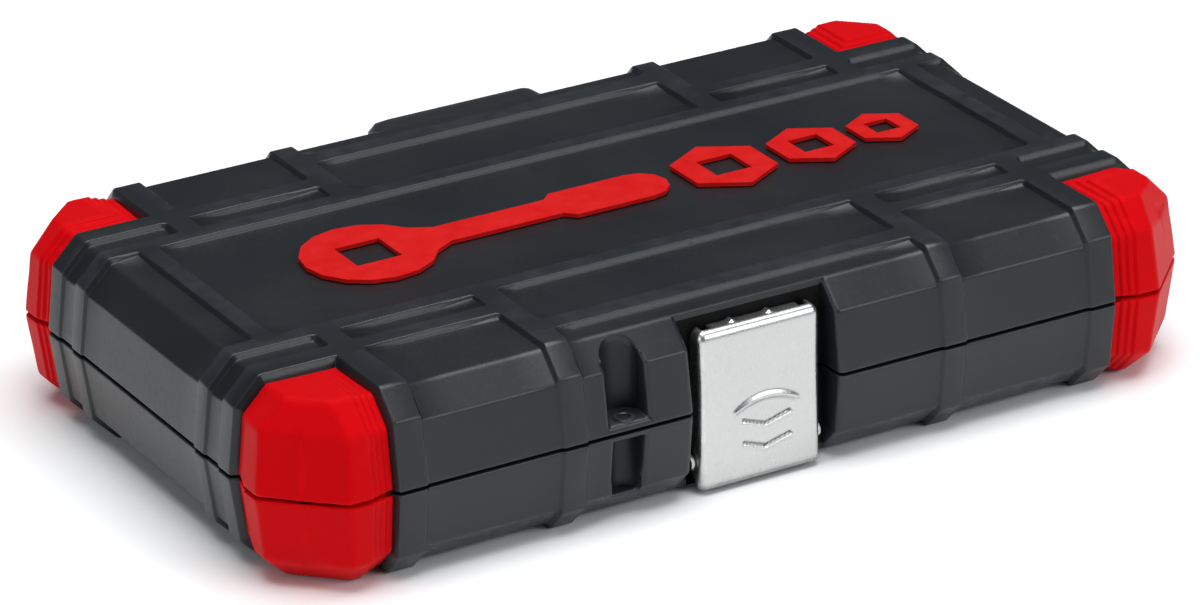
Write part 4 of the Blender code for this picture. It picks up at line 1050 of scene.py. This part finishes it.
def bit_piece(number):
    node = f"bit_{number}"
    low, high = in_case(node)
    kind = ("slot", "cross", "hexagon", "star", "cross")[(number - 1) % 5]
    tall = high[2] - low[2]
    neck = 2.6 - 0.2 * ((number - 1) % 5)
    point = {"slot": 1.0, "cross": 0.35}.get(kind, 0.92)
    sections = [
        (polygon(SQUARE - 0.8, 6), 0.0), (polygon(SQUARE, 6), 0.5), (polygon(SQUARE, 6), 4.0),
        (polygon(SQUARE - 0.7, 6), 4.6), (polygon(SQUARE - 0.7, 6), 6.4), (polygon(SQUARE, 6), 7.0),
        (polygon(SQUARE, 6), tall - 11.2), (circle(neck + 0.35), tall - 10.4),
        (circle(neck), tall - 9.4), (circle(neck), tall - 6.4),
        (bit_outline(kind, neck), tall - 4.6), (bit_outline(kind, neck * (0.5 + point / 2)), tall - 1.4),
        (bit_outline(kind, neck * point), tall - 0.2), (bit_outline(kind, neck * point * 0.9), tall),
    ]
    place = ((low[0] + high[0]) / 2, (low[1] + high[1]) / 2, low[2])
    loft(f"bit_shank_{number}", sections, place, "Z", BIT_STEEL, "base", (node,))


def grip_sections(radius, long, waist, lobes):
    """A screwdriver-like grip: a domed butt, a fluted belly and a narrow collar."""
    sections = []
    for along in np.linspace(0.0, 1.0, 60):
        dome = math.sqrt(max(0.0, 1 - (1 - min(along / 0.07, 1.0)) ** 2))
        belly = 1.0 - waist * math.exp(-(((along - 0.83) / 0.07) ** 2))
        nose = 1.0 - 0.25 * smooth_step(0.955, 1.0, along)
        size = radius * max(dome, 0.25) * belly * float(nose)
        flute = 0.11 * radius * float(smooth_step(0.10, 0.2, along) * (1 - smooth_step(0.66, 0.76, along)))
        sections.append((lobed(size, lobes, flute, 96), along * long))
    return sections


def grip_bands(name, radius, start, end, place, places, body):
    """Black rubber rings let into a grip."""
    for i, (low, high, size) in enumerate(places):
        outline = [(circle(size - 0.5, 96), low), (circle(size + 0.18, 96), low + 0.3)]
        outline += [(circle(size + 0.18, 96), high - 0.3), (circle(size - 0.5, 96), high)]
        loft(f"{name}_{i + 1}", outline, place, "X", GRIP_BLACK, body)


def spinner_pieces():
    low, high = in_case("spinner_grip")
    radius = (high[1] - low[1]) / 2
    place = (low[0], (low[1] + high[1]) / 2, (low[2] + high[2]) / 2)
    long = high[0] - low[0]
    sections = grip_sections(radius, long, 0.22, 8)
    loft("spinner_handle_grip", sections, place, "X", GRIP_RED, "base", ("spinner_grip",), 40.0)
    grip_bands("spinner_grip_ring", radius, 0, long, place, [(77.0, 80.5, radius * 0.80)], "base")
    blade_low, blade_high = in_case("spinner_blade")
    start = long - 4.0
    end = blade_high[0] - low[0]
    sections = [
        (circle(3.0), start), (circle(3.0), end - 12.6), (circle(3.4), end - 12.0), (circle(4.6), end - 11.6),
        (circle(4.8), end - 11.2), (circle(4.8), end - 7.6), (circle(4.5), end - 7.2),
        (polygon(SQUARE, 4), end - 7.0), (polygon(SQUARE, 4), end - 0.7), (polygon(SQUARE - 1.0, 4), end),
    ]
    loft("spinner_blade_bar", sections, place, "X", CHROME, "base", ("spinner_blade",))


def ratchet_pieces():
    low, high = in_case("ratchet_body")
    x, y = -65.0, (low[1] + high[1]) / 2
    bottom, top = low[2], high[2]
    middle = (bottom + top) / 2
    head = 12.5

    def pear(inset):
        turns = np.radians(np.linspace(40, 320, 41))
        outline = [((head - inset) * math.cos(t), (head - inset) * math.sin(t)) for t in turns]
        neck = 4.6 - inset * 0.6
        outline += [(13.0, -6.3 + inset), (17.0, -5.2 + inset * 0.7), (23.0, -neck)]
        outline += [(23.0, 0.0), (23.0, neck), (17.0, 5.2 - inset * 0.7), (13.0, 6.3 - inset)]
        return outline

    sections = [
        (pear(2.4), bottom + 0.5), (pear(2.0), bottom), (pear(0.8), bottom), (pear(0.25), bottom + 0.25),
        (pear(0.0), bottom + 0.9), (pear(0.0), top - 1.0), (pear(0.25), top - 0.3), (pear(0.9), top),
        (pear(1.9), top), (pear(2.2), top - 0.45),
    ]
    loft("ratchet_head_forging", sections, (x, y, 0.0), "Z", CHROME, "base", ("ratchet_body",), 30.0)
    grip_low, grip_high = in_case("ratchet_grip")
    start = grip_low[0] - x
    shank = []
    for along in np.linspace(20.0, start + 1.5, 24):
        size = 4.7 - 0.7 * math.sin(math.pi * (along - 20.0) / (start - 18.5)) ** 2
        shank.append((circle(size), along))
    loft("ratchet_handle_shank", shank, (x, y, middle), "X", CHROME, "base")
    radius = (grip_high[1] - grip_low[1]) / 2
    long = grip_high[0] - grip_low[0]
    sections = [(outline, long - along) for outline, along in grip_sections(radius, long, 0.16, 8)]
    loft("ratchet_handle_grip", sections, (grip_low[0], y, middle), "X", GRIP_RED, "base", ("ratchet_grip",), 40.0)
    grip_bands("ratchet_grip_ring", radius, 0, long, (grip_low[0], y, middle), [(long * 0.155, long * 0.19, radius * 0.88)], "base")

    plate = [
        (circle(10.2), top - 0.5), (circle(10.2), top - 0.1), (circle(9.9), top + 0.1),
        (circle(8.0), top + 0.1), (circle(7.8), top - 0.15), (circle(3.4), top - 0.15), (circle(3.0), top - 0.3),
    ]
    loft("ratchet_cover_plate", plate, (x, y, 0.0), "Z", PIN_STEEL, "base")

    button_low, button_high = in_case("ratchet_release_button")
    tall = button_high[2]
    button = [
        (circle(2.25), button_low[2]), (circle(2.25), tall - 0.45), (circle(2.1), tall - 0.15),
        (circle(1.7), tall), (circle(1.4), tall), (circle(0.5), tall - 0.25),
    ]
    loft("release_button_cap", button, (x, y, 0.0), "Z", DARK_STEEL, "release_button", ("ratchet_release_button",))

    lever_low, lever_high = in_case("ratchet_reverse_lever")
    lever_x = x + 9.4
    base = top + 0.35
    crown = lever_high[2]
    hub = []
    for size, level in ((3.2, base), (3.4, base + 0.25), (3.4, crown - 0.35), (3.1, crown - 0.05), (2.4, crown)):
        outline = []
        for t in np.linspace(0, 2 * math.pi, 96, endpoint=False):
            turn = (t + math.radians(22) + math.pi) % (2 * math.pi) - math.pi
            arm = 1.35 / max(abs(math.sin(turn)), 0.001) if abs(turn) < 1.2 else 0.0
            reach = min(max(arm, 1.0), 10.0)
            outline.append((max(size, reach - (3.4 - size)) * math.cos(t), max(size, reach - (3.4 - size)) * math.sin(t)))
        hub.append((outline, level))
    loft("reverse_lever_thumb", hub, (lever_x, y, 0.0), "Z", DARK_STEEL, "reverse_lever", ("ratchet_reverse_lever",))


def softened(node, finish, width, segments=3):
    """A frame node kept as it is, with its edges rounded and its finish changed."""
    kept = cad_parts[node]
    kept.data.materials.clear()
    kept.data.materials.append(finish)
    if width > 0.0:
        edge = kept.modifiers.new("Soft edges", "BEVEL")
        edge.width = width * MM
        edge.segments = segments
        edge.limit_method = "ANGLE"
        edge.angle_limit = math.radians(35)
        edge.harden_normals = False
    return kept


def kept_nodes():
    softened("badge_ratchet", BADGE_RED, 0.22)
    for number in (1, 2, 3):
        softened(f"badge_hexagon_{number}", BADGE_RED, 0.22)
    softened("hinge_pin", PIN_STEEL, 0.2)
    softened("latch_pin", PIN_STEEL, 0.12)
    softened("joint_socket_end", CHROME, 0.15)
    softened("joint_drive_end", CHROME, 0.15)
    softened("joint_cross", DARK_STEEL, 0.1)
    softened("ratchet_anvil", CHROME, 0.2)
    softened("tool_tray", TRAY_BLACK, 0.0)


# ---------------------------------------------------------------- hinge, catch, liner

HINGE_Y = 58.8
KNUCKLE_RADIUS = 2.4


def hinge_piece(is_lid):
    """The block at the back that carries the knuckles, its edges rounded."""
    half = "lid" if is_lid else "base"
    sections = []
    outline = lambda inset: round_corners(
        [(-18.6 + inset, 50.0), (18.6 - inset, 50.0), (18.0 - inset, 58.3 - inset), (-18.0 + inset, 58.3 - inset)], 1.3
    )
    for inset, z in ((0.3, 0.32), (0.0, 0.7), (0.0, 12.0), (0.3, 14.2), (1.2, 15.8), (2.6, 16.6), (4.4, 16.7)):
        sections.append((outline(inset), z if is_lid else -z))
    loft(f"{half}_hinge_block", sections, (0.0, 0.0, 0.0), "Z", BLACK, half)
    spans = [(-7.0, 7.0)] if is_lid else [(-18.0, -7.3), (7.3, 18.0)]
    for i, (low, high) in enumerate(spans):
        size = KNUCKLE_RADIUS
        rings = [(circle(1.25), high), (circle(1.25), low)]
        rings = [
            (circle(1.3), low), (circle(size - 0.4), low), (circle(size), low + 0.4),
            (circle(size), high - 0.4), (circle(size - 0.4), high), (circle(1.3), high),
        ]
        loft(f"{half}_hinge_knuckle_{i + 1}", rings, (0.0, HINGE_Y, 0.0), "X", BLACK, half)


def catch_piece():
    """The ledge on the lid that the latch hook drops behind."""
    profile = round_corners([(-54.0, 8.5), (-50.8, 8.5), (-50.8, 10.5), (-53.1, 10.5), (-53.1, 12.4), (-54.0, 12.4)], 0.35)
    rings = [(profile, -9.5), (profile, 9.5)]
    loft("lid_catch_ledge", rings, (0.0, 0.0, 0.0), "X", BLACK, "lid")


def lock_eyelet():
    """The little collar in the lock pocket's floor."""
    rings = [
        (circle(1.15), LOCK_FLOOR - 1.2), (circle(1.15), LOCK_FLOOR + 0.25), (circle(1.35), LOCK_FLOOR + 0.4),
        (circle(1.75), LOCK_FLOOR + 0.4), (circle(2.0), LOCK_FLOOR + 0.1), (circle(2.0), LOCK_FLOOR - 0.3),
    ]
    loft("lid_lock_eyelet", rings, (LOCK_X, -55.4, 0.0), "Z", BLACK, "lid")


def latch_ears():
    """The two ears on the base that hold the latch pin, with the ribs behind them."""
    for i, (low, high) in enumerate(((-10.8, -7.0), (7.0, 10.8))):
        y, z = LATCH_PIN
        round_part = [(y + 2.0 * math.cos(t), z + 2.0 * math.sin(t)) for t in np.radians(np.linspace(100, 350, 16))]
        profile = np.array(round_part + [(-45.5, z - 0.4), (-45.5, -5.0), (-50.4, -5.0), (-51.6, -6.0)])
        rings = [(profile * 1.0, low), (profile, high)]
        loft(f"base_latch_ear_{i + 1}", rings, (0.0, 0.0, 0.0), "X", BLACK, "base")


def liner_piece():
    """The foam sheet in the lid: a slab with soft edges and shallow pressed channels."""
    low, high = in_case("lid_foam_liner")
    x, y = high[0], high[1]
    steps = []
    notch = lambda inset: [(-35.0 - inset, -45.0 + inset), (18.0 + inset, -45.0 + inset)]
    for inset, z in ((0.9, high[2]), (0.0, high[2] - 0.3), (0.0, low[2] + 0.7), (0.3, low[2] + 0.2), (1.0, low[2])):
        steps.append((case_outline(x - inset, y - inset, 9.2, notch(inset), 2.5), z))
    for inset in (3.0, 8.0, 16.0):
        steps.append((case_outline(x - inset, y - inset, 9.2, notch(inset), 2.5), low[2] + 0.12 * (inset % 3)))
    points, faces, count = stack(steps)
    faces.append(tuple(range(count)))
    faces.append(tuple(range(len(points) - count, len(points))))
    liner = add_piece("lid_foam_sheet", points, faces, FOAM, "lid", ("lid_foam_liner",), 40.0)


# ---------------------------------------------------------------- the whole set


def build_set():
    for is_lid in (True, False):
        case_half(is_lid)
        hinge_piece(is_lid)
        for side in (-1, 1):
            for end in (-1, 1):
                corner_cap(is_lid, side, end)
    latch_piece()
    catch_piece()
    latch_ears()
    lock_eyelet()
    liner_piece()
    for size in SOCKET_SIZES:
        socket_piece(size)
    bar_piece("extension_bar_long_body", "extension_bar_long")
    bar_piece("extension_bar_short_body", "extension_bar_short")
    adaptor_piece()
    for number in range(1, 11):
        bit_piece(number)
    spinner_pieces()
    ratchet_pieces()
    kept_nodes()


# ---------------------------------------------------------------- floor, light and camera

CAMERA_PLACE = Vector((-0.49181, -0.86800, 0.44020)) + CASE_PLACE
CAMERA_FORWARD = Vector((0.449826, 0.795226, -0.406537))
CAMERA_ROLL = math.radians(-1.381)
CAMERA_LENS = 178.83


def add_floor():
    mesh = bpy.data.meshes.new("floor")
    size = 6.0
    mesh.from_pydata([(-size, -size, 0), (size, -size, 0), (size, size, 0), (-size, size, 0)], [], [(0, 1, 2, 3)])
    floor = bpy.data.objects.new("floor", mesh)
    bpy.context.scene.collection.objects.link(floor)
    finish, tree, shader = new_finish("pale floor")
    shader.inputs["Base Color"].default_value = (0.95, 0.95, 0.95, 1.0)
    shader.inputs["Roughness"].default_value = 0.8
    shader.inputs["Specular IOR Level"].default_value = 0.1
    mesh.materials.append(finish)


def add_softbox(name, place, aim, size, power, colour):
    light = bpy.data.lights.new(name, "AREA")
    light.shape = "RECTANGLE"
    light.size, light.size_y = size
    light.energy = power
    light.color = colour
    lamp = bpy.data.objects.new(name, light)
    lamp.location = place
    lamp.rotation_euler = (Vector(aim) - Vector(place)).to_track_quat("-Z", "Y").to_euler()
    bpy.context.scene.collection.objects.link(lamp)


def add_lights():
    add_softbox("overhead softbox", (0.05, -0.1, 1.5), (0, 0, 0), (1.5, 1.3), 29.0, (1.0, 1.0, 1.0))
    add_softbox("left softbox", (-1.6, -0.5, 0.6), (0, 0, 0), (0.8, 0.8), 5.0, (0.95, 0.98, 1.0))
    add_softbox("front softbox", (0.92, -1.51, 0.94), (0, 0, 0), (1.2, 0.9), 13.0, (0.93, 0.97, 1.0))
    world = bpy.data.worlds.new("studio")
    world.use_nodes = True
    backdrop = world.node_tree.nodes["Background"]
    backdrop.inputs["Color"].default_value = (0.78, 0.87, 1.0, 1.0)
    backdrop.inputs["Strength"].default_value = 0.12
    bpy.context.scene.world = world
    bpy.context.scene.view_settings.view_transform = "Standard"


def add_camera():
    camera = bpy.data.cameras.new("camera")
    camera.sensor_width = 36.0
    camera.lens = CAMERA_LENS
    camera.clip_start = 0.05
    holder = bpy.data.objects.new("camera", camera)
    turn = CAMERA_FORWARD.to_track_quat("-Z", "Y").to_matrix().to_4x4()
    holder.matrix_world = Matrix.Translation(CAMERA_PLACE) @ turn @ Matrix.Rotation(CAMERA_ROLL, 4, "Z")
    bpy.context.scene.collection.objects.link(holder)
    bpy.context.scene.camera = holder


add_camera()
build_set()
add_floor()
add_lights()
